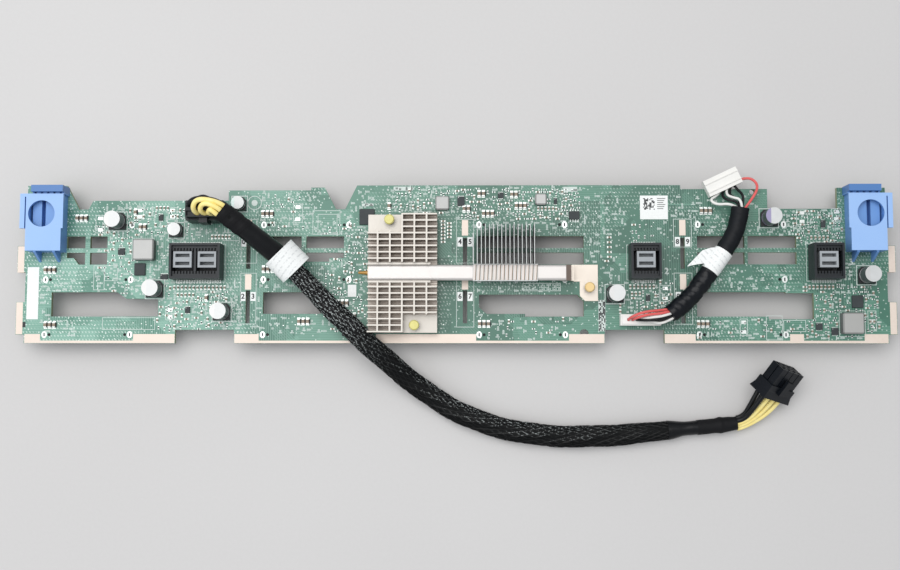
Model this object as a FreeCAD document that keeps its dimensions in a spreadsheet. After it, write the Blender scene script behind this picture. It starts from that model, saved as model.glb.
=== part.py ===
import FreeCAD, Part
import math
import os

import Sketcher
from FreeCAD import Vector

# Drive backplane board of a two-unit server with twelve 3.5 inch bays, lying on its drive sockets.
# Millimetres. +X runs along the board, +Y towards the edge with the release latches, and +Z away
# from the drives. The origin is under the middle of the board, on the surface it lies on.

os.makedirs("parts", exist_ok=True)
doc = FreeCAD.newDocument("drive_backplane")
sheet = doc.addObject("Spreadsheet::Sheet", "sizes")
sheet_rows = []


class Length:
    """A number together with the sheet expression that it comes from."""

    def __init__(self, number, text):
        self.number = number
        self.text = text

    def __add__(self, other):
        other = as_length(other)
        return Length(self.number + other.number, f"({self.text} + {other.text})")

    def __sub__(self, other):
        other = as_length(other)
        return Length(self.number - other.number, f"({self.text} - {other.text})")

    def __mul__(self, other):
        other = as_length(other)
        return Length(self.number * other.number, f"({self.text} * {other.text})")

    def __truediv__(self, other):
        other = as_length(other)
        return Length(self.number / other.number, f"({self.text} / {other.text})")

    def __radd__(self, other):
        return as_length(other) + self

    def __rsub__(self, other):
        return as_length(other) - self

    def __rmul__(self, other):
        return as_length(other) * self

    def __neg__(self):
        return self * -1


def as_length(value):
    """Give a plain number the form that bound lengths have."""
    if isinstance(value, Length):
        return value
    return Length(float(value), f"({float(value)})")


def size(alias, number, meaning):
    """Write one driving size into the sheet, with its alias, and return it as a Length."""
    sheet_rows.append(alias)
    row = len(sheet_rows)
    sheet.set(f"A{row}", meaning)
    sheet.set(f"B{row}", str(number))
    sheet.setAlias(f"B{row}", alias)
    return Length(float(number), f"sizes.{alias}")


# ---------------------------------------------------------------- driving dimensions

board_length = size("board_length", 421.0, "circuit board, left edge to right edge")
board_depth = size("board_depth", 77.6, "circuit board, bottom edge to latch edge")
board_thickness = size("board_thickness", 2.4, "circuit board")
corner_drop_right = size("corner_drop_right", 1.4, "right top corner below the latch edge")
left_edge_drop = size("left_edge_drop", 7.5, "top edge over the left columns, below the latch edge")
step_drop = size("step_drop", 2.4, "top edge beside the clock area, below the latch edge")
shelf_drop = size("shelf_drop", 1.0, "top edge left of the wide notch, below the latch edge")
right_step_drop = size("right_step_drop", 2.0, "top edge right of the label, below the latch edge")
notch_drop = size("notch_drop", 11.8, "floor of the top notches, below the latch edge")
foot_notch_height = size("foot_notch_height", 6.6, "bottom edge notches")
tab_reach = size("tab_reach", 4.2, "side tabs beyond the board's ends")
tab_width = size("tab_width", 12.9, "upper side tabs, along the end")
tab_above_row = size("tab_above_row", 10.15, "upper side tabs above the middle row")
low_tab_width = size("low_tab_width", 15.9, "lower side tabs, along the end")
low_tab_below_row = size("low_tab_below_row", 18.95, "lower side tabs below the middle row")
top_notch_floor = size("top_notch_floor", 4.5, "floors of the two top notches")
left_notch_inset = size("left_notch_inset", 27.9, "left top notch from the board's left end")
left_notch_long = size("left_notch_long", 6.3, "run of the left notch's long flank")
left_notch_short = size("left_notch_short", 2.4, "run of the left notch's short flank")
wide_notch_x = size("wide_notch_x", -56.0, "top notch beside the heatsink")
wide_notch_left = size("wide_notch_left", 5.6, "run of its left flank")
wide_notch_right = size("wide_notch_right", 5.8, "run of its right flank")
step_x = size("step_x", -111.2, "step in the top edge beside the power header")
shelf_x = size("shelf_x", -70.6, "step in the top edge left of the wide notch")
label_step_x = size("label_step_x", 110.6, "step in the top edge right of the label")
gap_left_inset = size("gap_left_inset", 57.5, "gap beside the right latch, its left side from the right end")
gap_right_inset = size("gap_right_inset", 23.5, "gap beside the right latch, its right side from the right end")
foot_notch_width = size("foot_notch_width", 28.9, "bottom edge notches")
foot_notch_left_x = size("foot_notch_left_x", -122.0, "left bottom notch")
foot_notch_right_x = size("foot_notch_right_x", 87.4, "right bottom notch")

middle_row_y = size("middle_row_y", -7.65, "middle row of drive sockets")
row_pitch = size("row_pitch", 26.95, "drive socket rows")
columns_middle_x = size("columns_middle_x", -19.9, "midway between the drive socket columns")
inner_column_gap = size("inner_column_gap", 105.6, "second to third socket column")
outer_column_gap = size("outer_column_gap", 106.9, "outer socket columns to their neighbours")

socket_length = size("socket_length", 45.4, "drive socket, over its guide towers")
socket_width = size("socket_width", 6.2, "drive socket")
socket_body_height = size("socket_body_height", 8.4, "drive socket body below the board")
tower_height = size("tower_height", 10.6, "guide towers below the board")
tower_length = size("tower_length", 3.9, "guide towers, along the socket")
tower_tip = size("tower_tip", 2.2, "tapered end of a guide tower")
tower_taper = size("tower_taper", 0.7, "taper on each side of a guide tower")
tongue_slot_length = size("tongue_slot_length", 33.6, "slot for the drive's blade")
tongue_slot_width = size("tongue_slot_width", 2.3, "slot for the drive's blade")
tongue_slot_depth = size("tongue_slot_depth", 6.6, "slot for the drive's blade")
key_slot_length = size("key_slot_length", 4.2, "power key at the slot's end")
key_slot_width = size("key_slot_width", 3.8, "power key at the slot's end")
peg_spacing = size("peg_spacing", 37.07, "locating pegs of a drive socket")
peg_radius = size("peg_radius", 0.65, "locating pegs")
peg_clearance = size("peg_clearance", 0.1, "locating pegs in their holes")

vent_rib = size("vent_rib", 2.2, "rib between the vent rows")
vent_height = size("vent_height", 5.85, "vent windows, across the board")
vent_above_row = size("vent_above_row", 7.4, "lowest vent edge above the middle row")
slot_below_row = size("slot_below_row", 6.2, "air slots below the middle row")
slot_height = size("slot_height", 11.9, "air slots, across the board")
slot_step = size("slot_step", 1.3, "step in the air slots' lower edges")
slot_chamfer = size("slot_chamfer", 3.2, "cut corners of the air slots")
rib_slot_pitch = size("rib_slot_pitch", 106.15, "slots for the bay dividers")
rib_slot_middle_x = size("rib_slot_middle_x", 5.1, "middle slot for a bay divider")
rib_slot_width = size("rib_slot_width", 2.1, "slots for the bay dividers")
rib_slot_upper_low = size("rib_slot_upper_low", 5.3, "upper divider slot, lower end above the row")
rib_slot_upper_high = size("rib_slot_upper_high", 20.4, "upper divider slot, upper end above the row")
rib_slot_lower_high = size("rib_slot_lower_high", 5.3, "lower divider slot, upper end below the row")
rib_slot_lower_low = size("rib_slot_lower_low", 21.4, "lower divider slot, lower end below the row")
locating_hole_radius = size("locating_hole_radius", 2.2, "locating hole by the bottom edge")
locating_hole_x = size("locating_hole_x", 62.95, "locating hole by the bottom edge")
locating_hole_edge = size("locating_hole_edge", 4.7, "locating hole above the bottom edge")
small_hole_radius = size("small_hole_radius", 1.3, "small hole by the latch edge")
small_hole_x = size("small_hole_x", 145.7, "small hole by the latch edge")
small_hole_edge = size("small_hole_edge", 3.4, "small hole below the latch edge")

chip_side = size("chip_side", 27.0, "expander chip")
chip_height = size("chip_height", 2.1, "expander chip")
chip_lid_side = size("chip_lid_side", 21.0, "expander chip lid")
chip_lid_height = size("chip_lid_height", 0.9, "expander chip lid, part of its height")
pad_side = size("pad_side", 20.0, "thermal pad")
pad_thickness = size("pad_thickness", 0.4, "thermal pad")
sink_width = size("sink_width", 33.5, "heatsink, along the board")
sink_depth = size("sink_depth", 57.4, "heatsink, across the board")
sink_x = size("sink_x", -25.15, "middle of the heatsink")
sink_above_row = size("sink_above_row", 2.55, "middle of the heatsink above the middle row")
sink_base = size("sink_base", 2.4, "heatsink base")
sink_fin_height = size("sink_fin_height", 6.2, "heatsink fins above the base")
sink_fin = size("sink_fin", 0.7, "heatsink fins")
sink_fin_pitch = size("sink_fin_pitch", 3.07, "long heatsink fins")
sink_rib = size("sink_rib", 0.8, "heatsink cross ribs")
sink_rib_pitch = size("sink_rib_pitch", 5.87, "heatsink cross ribs")
sink_ear_width = size("sink_ear_width", 16.5, "plain corners for the push pins, along the board")
sink_ear_depth = size("sink_ear_depth", 8.5, "plain corners for the push pins, across the board")
rail_width = size("rail_width", 9.7, "pipe rail across the heatsink")
rail_above_row = size("rail_above_row", 2.75, "middle of the pipe rail above the middle row")

pipe_width = size("pipe_width", 7.6, "flattened heat pipe")
pipe_height = size("pipe_height", 2.6, "flattened heat pipe")
pipe_seat = size("pipe_seat", 0.3, "heat pipe above the heatsink base")
pipe_gap = size("pipe_gap", 0.05, "heat pipe beside its rails")
pipe_length = size("pipe_length", 95.6, "heat pipe without its sealed ends")
pipe_end_taper = size("pipe_end_taper", 2.6, "crimped far end of the heat pipe")
pipe_tail_length = size("pipe_tail_length", 4.6, "pinched filling tail of the heat pipe")
pipe_tail_radius = size("pipe_tail_radius", 1.1, "filling tail at the pipe")

rail_end_cut = size("rail_end_cut", 3.2, "rails short of the heatsink's right side")
stack_start = size("stack_start", 17.2, "first stack fin beyond the heatsink")
stack_count = size("stack_count", 16, "stack fins")
stack_pitch = size("stack_pitch", 1.96, "stack fins")
stack_fin = size("stack_fin", 0.35, "stack fins")
stack_reach = size("stack_reach", 19.3, "stack fins beyond the heat pipe")
stack_drop = size("stack_drop", 2.6, "stack fins below the heat pipe")
stack_rise = size("stack_rise", 4.2, "stack fins above the heat pipe")
stack_hem = size("stack_hem", 0.35, "hems of the stack fins round the heat pipe")
stack_corner = size("stack_corner", 4.4, "cut corner of the first fins")

bracket_thickness = size("bracket_thickness", 0.6, "sheet bracket under the pipe's far end")
bracket_width = size("bracket_width", 12.6, "bracket foot, along the board")
bracket_leg = size("bracket_leg", 8.8, "bracket leg that takes the push pin, along the board")
bracket_drop = size("bracket_drop", 17.7, "bracket leg, across the board")
bracket_shelf = size("bracket_shelf", 6.0, "bracket shelf under the pipe")
bracket_cut = size("bracket_cut", 2.5, "cut corner of the bracket leg")

pin_head_radius = size("pin_head_radius", 2.45, "push pin heads")
pin_head_height = size("pin_head_height", 1.4, "push pin heads")
pin_shank_radius = size("pin_shank_radius", 1.3, "push pin shanks")
pin_upper_side = size("pin_upper_side", 10.4, "upper push pin from the heatsink's left side")
pin_upper_edge = size("pin_upper_edge", 2.8, "upper push pin below the heatsink's upper edge")
pin_lower_side = size("pin_lower_side", 11.0, "lower push pin from the heatsink's right side")
pin_lower_edge = size("pin_lower_edge", 3.5, "lower push pin above the heatsink's lower edge")
bracket_pin_inset = size("bracket_pin_inset", 4.3, "bracket push pin from the bracket's right edge")
bracket_pin_rise = size("bracket_pin_rise", 6.5, "bracket push pin above the bracket leg's end")
pin_hole_clearance = size("pin_hole_clearance", 0.15, "push pins in their holes")
pin_barb_radius = size("pin_barb_radius", 1.9, "barbs of the push pins")
pin_barb_height = size("pin_barb_height", 2.0, "barbs of the push pins")
pin_spring_height = size("pin_spring_height", 3.4, "push pin springs")
pin_spring_radius = size("pin_spring_radius", 2.1, "push pin springs")
pin_spring_wall = size("pin_spring_wall", 0.45, "push pin spring wire")

latch_inset = size("latch_inset", 10.3, "finger holes of the latches from the board's ends")
latch_above_row = size("latch_above_row", 31.45, "finger holes above the middle row")
latch_face = size("latch_face", 21.0, "latch face, along the board")
latch_height = size("latch_height", 9.2, "latch face above the board")
latch_plate = size("latch_plate", 1.6, "latch face plate")
latch_wall = size("latch_wall", 1.3, "latch side walls")
latch_hole_radius = size("latch_hole_radius", 6.45, "finger hole")
latch_upper = size("latch_upper", 9.7, "latch face above the finger hole's middle")
latch_shoulder = size("latch_shoulder", 7.2, "wide part of the face below the finger hole's middle")
latch_lower = size("latch_lower", 18.1, "latch face below the finger hole's middle")
latch_neck_outer = size("latch_neck_outer", 2.9, "lower face set in on the outer side")
latch_neck_inner = size("latch_neck_inner", 0.9, "lower face set in on the inner side")
latch_block_depth = size("latch_block_depth", 3.2, "hook block behind the face")
latch_block_gap = size("latch_block_gap", 0.9, "lip between the face and the hook block")
latch_block_height = size("latch_block_height", 10.4, "hook block above the board")
latch_block_inset = size("latch_block_inset", 5.6, "hook block set in on the outer side")
latch_floor = size("latch_floor", 1.2, "latch floor on the board")
latch_rib = size("latch_rib", 4.4, "ribs under the finger hole")
latch_rib_gap = size("latch_rib_gap", 1.9, "slot between the ribs")
latch_rib_height = size("latch_rib_height", 4.6, "ribs under the finger hole")
latch_gusset = size("latch_gusset", 1.2, "gusset legs")
latch_gusset_reach = size("latch_gusset_reach", 4.8, "gusset legs below the face")
latch_gusset_spacing = size("latch_gusset_spacing", 9.3, "gusset legs")
latch_slit = size("latch_slit", 0.6, "slit beside the spring arm")
latch_notch = size("latch_notch", 1.2, "notches along the lip")
latch_notch_count = size("latch_notch_count", 5, "notches along the lip")
latch_lip_drop = size("latch_lip_drop", 1.0, "lip below the latch face")
latch_arm_root = size("latch_arm_root", 1.5, "joined end of the spring arm")
latch_gusset_outer = size("latch_gusset_outer", 3.2, "outer gusset leg outside the finger hole's middle")

port_width = size("port_width", 14.6, "single cable port, along the board")
dual_port_width = size("dual_port_width", 24.5, "double cable port, along the board")
port_depth = size("port_depth", 17.2, "cable ports, across the board")
port_height = size("port_height", 10.2, "cable ports")
port_wall = size("port_wall", 1.1, "cable port walls")
port_floor = size("port_floor", 1.0, "cable port floors")
port_ledge = size("port_ledge", 2.6, "cable port ledges, across the board")
port_ledge_drop = size("port_ledge_drop", 1.6, "cable port ledges below the rim")
port_tooth = size("port_tooth", 1.5, "teeth along the ledges")
wafer_width = size("wafer_width", 8.9, "contact wafer, along the board")
wafer_depth = size("wafer_depth", 7.8, "contact wafer, across the board")
wafer_drop = size("wafer_drop", 0.9, "contact wafer below the rim")
wafer_slot_length = size("wafer_slot_length", 6.9, "slots in the contact wafers")
wafer_slot_width = size("wafer_slot_width", 1.7, "slots in the contact wafers")
wafer_slot_spacing = size("wafer_slot_spacing", 3.9, "slots in the contact wafers")
wafer_slot_depth = size("wafer_slot_depth", 5.5, "slots in the contact wafers")
port_row_offset = size("port_row_offset", 8.3, "cable ports above the middle row")
wafer_offset = size("wafer_offset", 0.7, "contact wafers above the middle of their ports")
wafer_pitch = size("wafer_pitch", 11.85, "the two wafers of the double port")
dual_port_x = size("dual_port_x", -125.3, "double cable port")
port_1_x = size("port_1_x", 92.1, "first single cable port")
port_2_inset = size("port_2_inset", 30.9, "second single cable port from the board's right end")

can_radius = size("can_radius", 3.95, "large capacitor cans")
can_height = size("can_height", 10.2, "large capacitors")
small_can_radius = size("small_can_radius", 3.15, "small capacitor cans")
small_can_height = size("small_can_height", 5.9, "small capacitors")
can_base = size("can_base", 1.3, "capacitor bases")
can_base_margin = size("can_base_margin", 0.2, "capacitor bases beyond their cans")
can_base_cut = size("can_base_cut", 1.6, "cut corners of the capacitor bases")
can_groove = size("can_groove", 0.3, "crimp groove round the cans")
can_groove_height = size("can_groove_height", 2.5, "crimp groove above the board")

coil_side = size("coil_side", 10.2, "large power inductors")
coil_height = size("coil_height", 5.0, "large power inductors")
small_coil_side = size("small_coil_side", 6.7, "medium power inductor")
small_coil_height = size("small_coil_height", 3.0, "medium power inductor")
tiny_coil_side = size("tiny_coil_side", 5.5, "small power inductor")
coil_bevel = size("coil_bevel", 0.6, "bevelled corners of the inductors")
regulator_width = size("regulator_width", 5.4, "power regulator chips, along the board")
regulator_depth = size("regulator_depth", 6.0, "power regulator chips, across the board")
controller_width = size("controller_width", 7.4, "controller chip, along the board")
controller_depth = size("controller_depth", 7.7, "controller chip, across the board")
small_chip_height = size("small_chip_height", 1.1, "regulator and controller chips")
memory_width = size("memory_width", 5.1, "memory chip, along the board")
memory_depth = size("memory_depth", 4.0, "memory chip, across the board")
memory_height = size("memory_height", 1.6, "memory chip")
chip_bevel = size("chip_bevel", 0.2, "bevelled edges of the chips")

header_length = size("header_length", 18.1, "power header, along the board")
header_width = size("header_width", 9.6, "power header, across the board")
header_height = size("header_height", 12.8, "power header")
header_wall = size("header_wall", 0.9, "power header walls")
header_fit = size("header_fit", 0.1, "plug in the power header")
header_x = size("header_x", -120.25, "power header")
header_above_row = size("header_above_row", 32.4, "power header above the middle row")
circuit_pitch = size("circuit_pitch", 4.2, "power circuits")
plug_entry = size("plug_entry", 9.4, "power plug inside its header")
plug_rise = size("plug_rise", 5.2, "power plug above its header")
plug_cell = size("plug_cell", 2.4, "wire cells of the power plugs")
plug_cell_depth = size("plug_cell_depth", 1.5, "wire cells of the power plugs")
header_latch_width = size("header_latch_width", 4.0, "latch on the power header")
header_latch_depth = size("header_latch_depth", 1.6, "latch on the power header")

power_wire = size("power_wire", 2.1, "power wires")
wire_spacing = size("wire_spacing", 2.2, "power wires where they enter the sleeve")
sleeve_diameter = size("sleeve_diameter", 9.4, "sleeved power cable")
far_plug_x = size("far_plug_x", 152.6, "far power plug, middle of its skirt")
far_plug_y = size("far_plug_y", -63.6, "far power plug, middle of its skirt")
far_plug_z = size("far_plug_z", 10.1, "far power plug, middle of its skirt")
far_plug_length = size("far_plug_length", 9.2, "far power plug, keyed cells")
far_skirt_length = size("far_skirt_length", 7.0, "far power plug, body and skirt")
far_skirt_flare = size("far_skirt_flare", 0.8, "far power plug, skirt beyond the body")
far_cell = size("far_cell", 3.7, "far power plug, keyed cells")
far_cell_bore = size("far_cell_bore", 1.8, "contact holes of the far power plug")
far_cell_bore_depth = size("far_cell_bore_depth", 6.0, "contact holes of the far power plug")
power_label_length = size("power_label_length", 12.3, "label round the power cable, along it")
power_label_width = size("power_label_width", 17.2, "label round the power cable, across it")
power_label_height = size("power_label_height", 12.0, "label round the power cable, upright")
power_label_paper = size("power_label_paper", 0.25, "label paper")

signal_header_length = size("signal_header_length", 19.6, "signal header")
signal_header_width = size("signal_header_width", 5.4, "signal header")
signal_header_height = size("signal_header_height", 4.6, "signal header")
signal_header_x = size("signal_header_x", 89.9, "signal header")
signal_header_below_row = size("signal_header_below_row", 19.9, "signal header below the middle row")
signal_header_wall = size("signal_header_wall", 0.6, "signal header walls")
signal_plug_height = size("signal_plug_height", 5.4, "signal plug above the board")
signal_fit = size("signal_fit", 0.05, "signal plug in its header")
signal_pitch = size("signal_pitch", 2.0, "signal circuits")
signal_circuits = size("signal_circuits", 7, "signal circuits")
signal_cell = size("signal_cell", 1.5, "wire cells of the signal plug")
signal_cell_depth = size("signal_cell_depth", 0.8, "wire cells of the signal plug")
signal_wire = size("signal_wire", 1.3, "signal wires")
signal_bundle_diameter = size("signal_bundle_diameter", 8.2, "taped signal cable")
signal_plug_length = size("signal_plug_length", 17.6, "far signal plug, across its wires")
signal_plug_depth = size("signal_plug_depth", 8.3, "far signal plug, along its wires")
signal_plug_thickness = size("signal_plug_thickness", 4.4, "far signal plug")
signal_plug_x = size("signal_plug_x", 130.55, "middle of the far signal plug")
signal_plug_y = size("signal_plug_y", 39.8, "middle of the far signal plug")
signal_key = size("signal_key", 0.6, "key rails on the far signal plug")
signal_label_length = size("signal_label_length", 12.0, "label round the signal cable, along it")
signal_label_radius = size("signal_label_radius", 4.6, "label round the signal cable")
signal_label_x = size("signal_label_x", 126.6, "middle of the label round the signal cable")
signal_label_y = size("signal_label_y", 0.6, "middle of the label round the signal cable")
signal_label_z = size("signal_label_z", 18.55, "middle of the label round the signal cable")

doc.recompute()

board_top = tower_height + board_thickness
board_bottom = tower_height
latch_edge = board_depth / 2
foot_edge = -board_depth / 2
column_x = [
    columns_middle_x - inner_column_gap / 2 - outer_column_gap,
    columns_middle_x - inner_column_gap / 2,
    columns_middle_x + inner_column_gap / 2,
    columns_middle_x + inner_column_gap / 2 + outer_column_gap,
]
row_y = [middle_row_y + row_pitch, middle_row_y, middle_row_y - row_pitch]

# ---------------------------------------------------------------- building blocks

nodes = []
tubes = []


def bind(item, prop, value):
    """Tie one property of an object to a length's expression."""
    item.setExpression(prop, as_length(value).text)


def place(item, x, y, z):
    """Tie an object's position to three lengths."""
    bind(item, "Placement.Base.x", x)
    bind(item, "Placement.Base.y", y)
    bind(item, "Placement.Base.z", z)
    return item


def box(dx, dy, dz, x, y, z):
    """A block from its lowest corner."""
    item = doc.addObject("Part::Box", "block")
    bind(item, "Length", dx)
    bind(item, "Width", dy)
    bind(item, "Height", dz)
    return place(item, x, y, z)


def middle_box(dx, dy, dz, x, y, z):
    """A block centred on x and y that stands on z."""
    return box(dx, dy, dz, x - dx / 2, y - dy / 2, z)


def cylinder(radius, height, x, y, z):
    """An upright cylinder that stands on z."""
    item = doc.addObject("Part::Cylinder", "round")
    bind(item, "Radius", radius)
    bind(item, "Height", height)
    return place(item, x, y, z)


def cone(radius_low, radius_high, height, x, y, z):
    """An upright cone that stands on z."""
    item = doc.addObject("Part::Cone", "taper")
    bind(item, "Radius1", radius_low)
    bind(item, "Radius2", radius_high)
    bind(item, "Height", height)
    return place(item, x, y, z)


def fuse(items):
    """Join solids into one."""
    item = doc.addObject("Part::MultiFuse", "join")
    item.Shapes = items
    return item


def cut(base, tools):
    """Take tools away from a base, one or many."""
    item = doc.addObject("Part::Cut", "cut")
    item.Base = base
    item.Tool = tools[0] if len(tools) == 1 else fuse(tools)
    return item


def keep(item, name):
    """Name a finished object as one node of the part."""
    item.Label = name
    nodes.append(item)
    return item


def new_body(name):
    """An empty PartDesign body."""
    body = doc.addObject("PartDesign::Body", "body")
    body.Label = name
    return body


def new_sketch(body, role):
    """A sketch on one of a body's own origin planes."""
    plane = [item for item in body.Origin.OriginFeatures if item.Role == role][0]
    sketch = body.newObject("Sketcher::SketchObject", "sketch")
    sketch.AttachmentSupport = [(plane, "")]
    sketch.MapMode = "FlatFace"
    return sketch


def fix_point(sketch, edge, point, x, y):
    """Hold one sketch point at two lengths from the sketch's origin."""
    across = sketch.addConstraint(Sketcher.Constraint("DistanceX", -1, 1, edge, point, x.number))
    sketch.setExpression(f"Constraints[{across}]", x.text)
    up = sketch.addConstraint(Sketcher.Constraint("DistanceY", -1, 1, edge, point, y.number))
    sketch.setExpression(f"Constraints[{up}]", y.text)


def draw_polygon(sketch, corners):
    """A closed outline through the corners, each held by its own lengths."""
    first = sketch.GeometryCount
    points = [(as_length(x), as_length(y)) for x, y in corners]
    count = len(points)
    spots = [Vector(x.number, y.number, 0) for x, y in points]
    sketch.addGeometry([Part.LineSegment(spots[i], spots[(i + 1) % count]) for i in range(count)], False)
    joints = [("Coincident", first + i, 2, first + (i + 1) % count, 1) for i in range(count)]
    sketch.addConstraint([Sketcher.Constraint(*joint) for joint in joints])
    for i, (x, y) in enumerate(points):
        fix_point(sketch, first + i, 1, x, y)


def draw_rectangle(sketch, low_x, high_x, low_y, high_y):
    """A rectangle between two corners."""
    draw_polygon(sketch, [(low_x, low_y), (high_x, low_y), (high_x, high_y), (low_x, high_y)])


def draw_circle(sketch, x, y, radius):
    """A circle with its middle and radius held."""
    x, y, radius = as_length(x), as_length(y), as_length(radius)
    middle = Vector(x.number, y.number, 0)
    index = sketch.addGeometry(Part.Circle(middle, Vector(0, 0, 1), radius.number), False)
    width = sketch.addConstraint(Sketcher.Constraint("Radius", index, radius.number))
    sketch.setExpression(f"Constraints[{width}]", radius.text)
    fix_point(sketch, index, 3, x, y)


def pad(body, sketch, height):
    """Pad a sketch upwards."""
    feature = body.newObject("PartDesign::Pad", "pad")
    feature.Profile = sketch
    bind(feature, "Length", height)
    return feature


def pocket_through(body, sketch):
    """Cut a sketch through the whole body, both ways from its plane."""
    feature = body.newObject("PartDesign::Pocket", "pocket")
    feature.Profile = sketch
    feature.Type = "ThroughAll"
    feature.Midplane = True
    return feature


def plate(name, corners, height, z, holes=()):
    """A flat body of one outline with round holes, standing on z."""
    body = new_body(name)
    outline = new_sketch(body, "XY_Plane")
    draw_polygon(outline, corners)
    for x, y, radius in holes:
        draw_circle(outline, x, y, radius)
    pad(body, outline, height)
    bind(body, "Placement.Base.z", z)
    return body


def tapered_block(low_dx, low_dy, high_dx, high_dy, height, x, y, z):
    """A block centred on x and y that narrows or widens evenly from z upwards."""
    item = doc.addObject("Part::Wedge", "taper")
    item.Placement = FreeCAD.Placement(Vector(0, 0, 0), FreeCAD.Rotation(Vector(1, 0, 0), 90))
    spans = {"X": low_dx, "Z": low_dy, "X2": high_dx, "Z2": high_dy}
    for axis, span in spans.items():
        bind(item, f"{axis}min", -as_length(span) / 2)
        bind(item, f"{axis}max", as_length(span) / 2)
    bind(item, "Ymin", 0)
    bind(item, "Ymax", height)
    return place(item, x, y, z)


def bevelled_block(name, dx, dy, dz, x, y, z, bevel):
    """A block centred on x and y whose top and upright edges are bevelled."""
    body = new_body(name)
    outline = new_sketch(body, "XY_Plane")
    draw_rectangle(outline, -as_length(dx) / 2, as_length(dx) / 2, -as_length(dy) / 2, as_length(dy) / 2)
    block = pad(body, outline, dz)
    doc.recompute()
    edges = [
        f"Edge{number}"
        for number, edge in enumerate(block.Shape.Edges, 1)
        if edge.BoundBox.ZMax > block.Shape.BoundBox.ZMax / 2
    ]
    trim = body.newObject("PartDesign::Chamfer", "bevel")
    trim.Base = (block, edges)
    bind(trim, "Size", bevel)
    return keep(place(body, x, y, z), name)


# ---------------------------------------------------------------- circuit board

tab_low = middle_row_y + tab_above_row - tab_width / 2
tab_high = middle_row_y + tab_above_row + tab_width / 2
low_tab_low = middle_row_y - low_tab_below_row - low_tab_width / 2
low_tab_high = middle_row_y - low_tab_below_row + low_tab_width / 2
board_end = board_length / 2
tab_end = board_end + tab_reach
notch_floor = latch_edge - notch_drop
notch_half = top_notch_floor / 2


def foot_notch(x):
    """The four corners of a notch in the bottom edge, from left to right."""
    left = x - foot_notch_width / 2
    right = x + foot_notch_width / 2
    roof = foot_edge + foot_notch_height
    return [(left, foot_edge), (left, roof), (right, roof), (right, foot_edge)]


left_notch_x = -board_end + left_notch_inset
gap_left_x = board_end - gap_left_inset
gap_right_x = board_end - gap_right_inset
right_end = [
    (board_end, foot_edge),
    (board_end, low_tab_low),
    (tab_end, low_tab_low),
    (tab_end, low_tab_high),
    (board_end, low_tab_high),
    (board_end, tab_low),
    (tab_end, tab_low),
    (tab_end, tab_high),
    (board_end, tab_high),
    (board_end, latch_edge - corner_drop_right),
]
latch_side = [
    (gap_right_x, latch_edge - corner_drop_right),
    (gap_right_x, notch_floor),
    (gap_left_x, notch_floor),
    (gap_left_x, latch_edge - right_step_drop),
    (label_step_x, latch_edge - right_step_drop),
    (label_step_x, latch_edge),
    (wide_notch_x + notch_half + wide_notch_right, latch_edge),
    (wide_notch_x + notch_half, notch_floor),
    (wide_notch_x - notch_half, notch_floor),
    (wide_notch_x - notch_half - wide_notch_left, latch_edge - shelf_drop),
    (shelf_x, latch_edge - shelf_drop),
    (shelf_x, latch_edge - step_drop),
    (step_x, latch_edge - step_drop),
    (step_x, latch_edge - left_edge_drop),
    (left_notch_x + notch_half + left_notch_short, latch_edge - left_edge_drop),
    (left_notch_x + notch_half, notch_floor),
    (left_notch_x - notch_half, notch_floor),
    (left_notch_x - notch_half - left_notch_long, latch_edge),
]
left_end = [
    (-board_end, latch_edge),
    (-board_end, tab_high),
    (-tab_end, tab_high),
    (-tab_end, tab_low),
    (-board_end, tab_low),
    (-board_end, low_tab_high),
    (-tab_end, low_tab_high),
    (-tab_end, low_tab_low),
    (-board_end, low_tab_low),
    (-board_end, foot_edge),
]

board = new_body("circuit_board")
board_outline = new_sketch(board, "XY_Plane")
foot_side = foot_notch(foot_notch_left_x) + foot_notch(foot_notch_right_x)
draw_polygon(board_outline, foot_side + right_end + latch_side + left_end)
pad(board, board_outline, board_thickness)

# Vent windows stand in two rows. Each is given by its ends from the middle of its socket column.
vent_low = middle_row_y + vent_above_row
vent_high = vent_low + vent_height + vent_rib
vent_windows = [
    (column_x[0], 0.6, 9.1),
    (column_x[1], -17.8, -2.3),
    (column_x[2], -21.4, 30.2),
    (column_x[3], -21.4, 1.6),
    (column_x[3], 3.2, 26.9),
]
vents = new_sketch(board, "XY_Plane")
for column, start, end in vent_windows:
    draw_rectangle(vents, column + start, column + end, vent_low, vent_low + vent_height)
    draw_rectangle(vents, column + start, column + end, vent_high, vent_high + vent_height)
first_vent = column_x[0] - 10.8
draw_rectangle(vents, first_vent, first_vent + 9.0, vent_high, vent_high + vent_height)
draw_polygon(vents, [
    (first_vent, vent_low + slot_chamfer),
    (first_vent + 3.4, vent_low + slot_chamfer),
    (first_vent + 5.9, vent_low),
    (first_vent + 9.0, vent_low),
    (first_vent + 9.0, vent_low + vent_height),
    (first_vent, vent_low + vent_height),
])
draw_rectangle(vents, column_x[1], column_x[1] + 18.5, vent_high, vent_high + vent_height)
draw_polygon(vents, [
    (column_x[1], vent_low + 1.4),
    (column_x[1] + 11.3, vent_low + 1.4),
    (column_x[1] + 11.3, vent_low + slot_chamfer),
    (column_x[1] + 18.5, vent_low + slot_chamfer),
    (column_x[1] + 18.5, vent_low + vent_height),
    (column_x[1], vent_low + vent_height),
])
pocket_through(board, vents)

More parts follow.
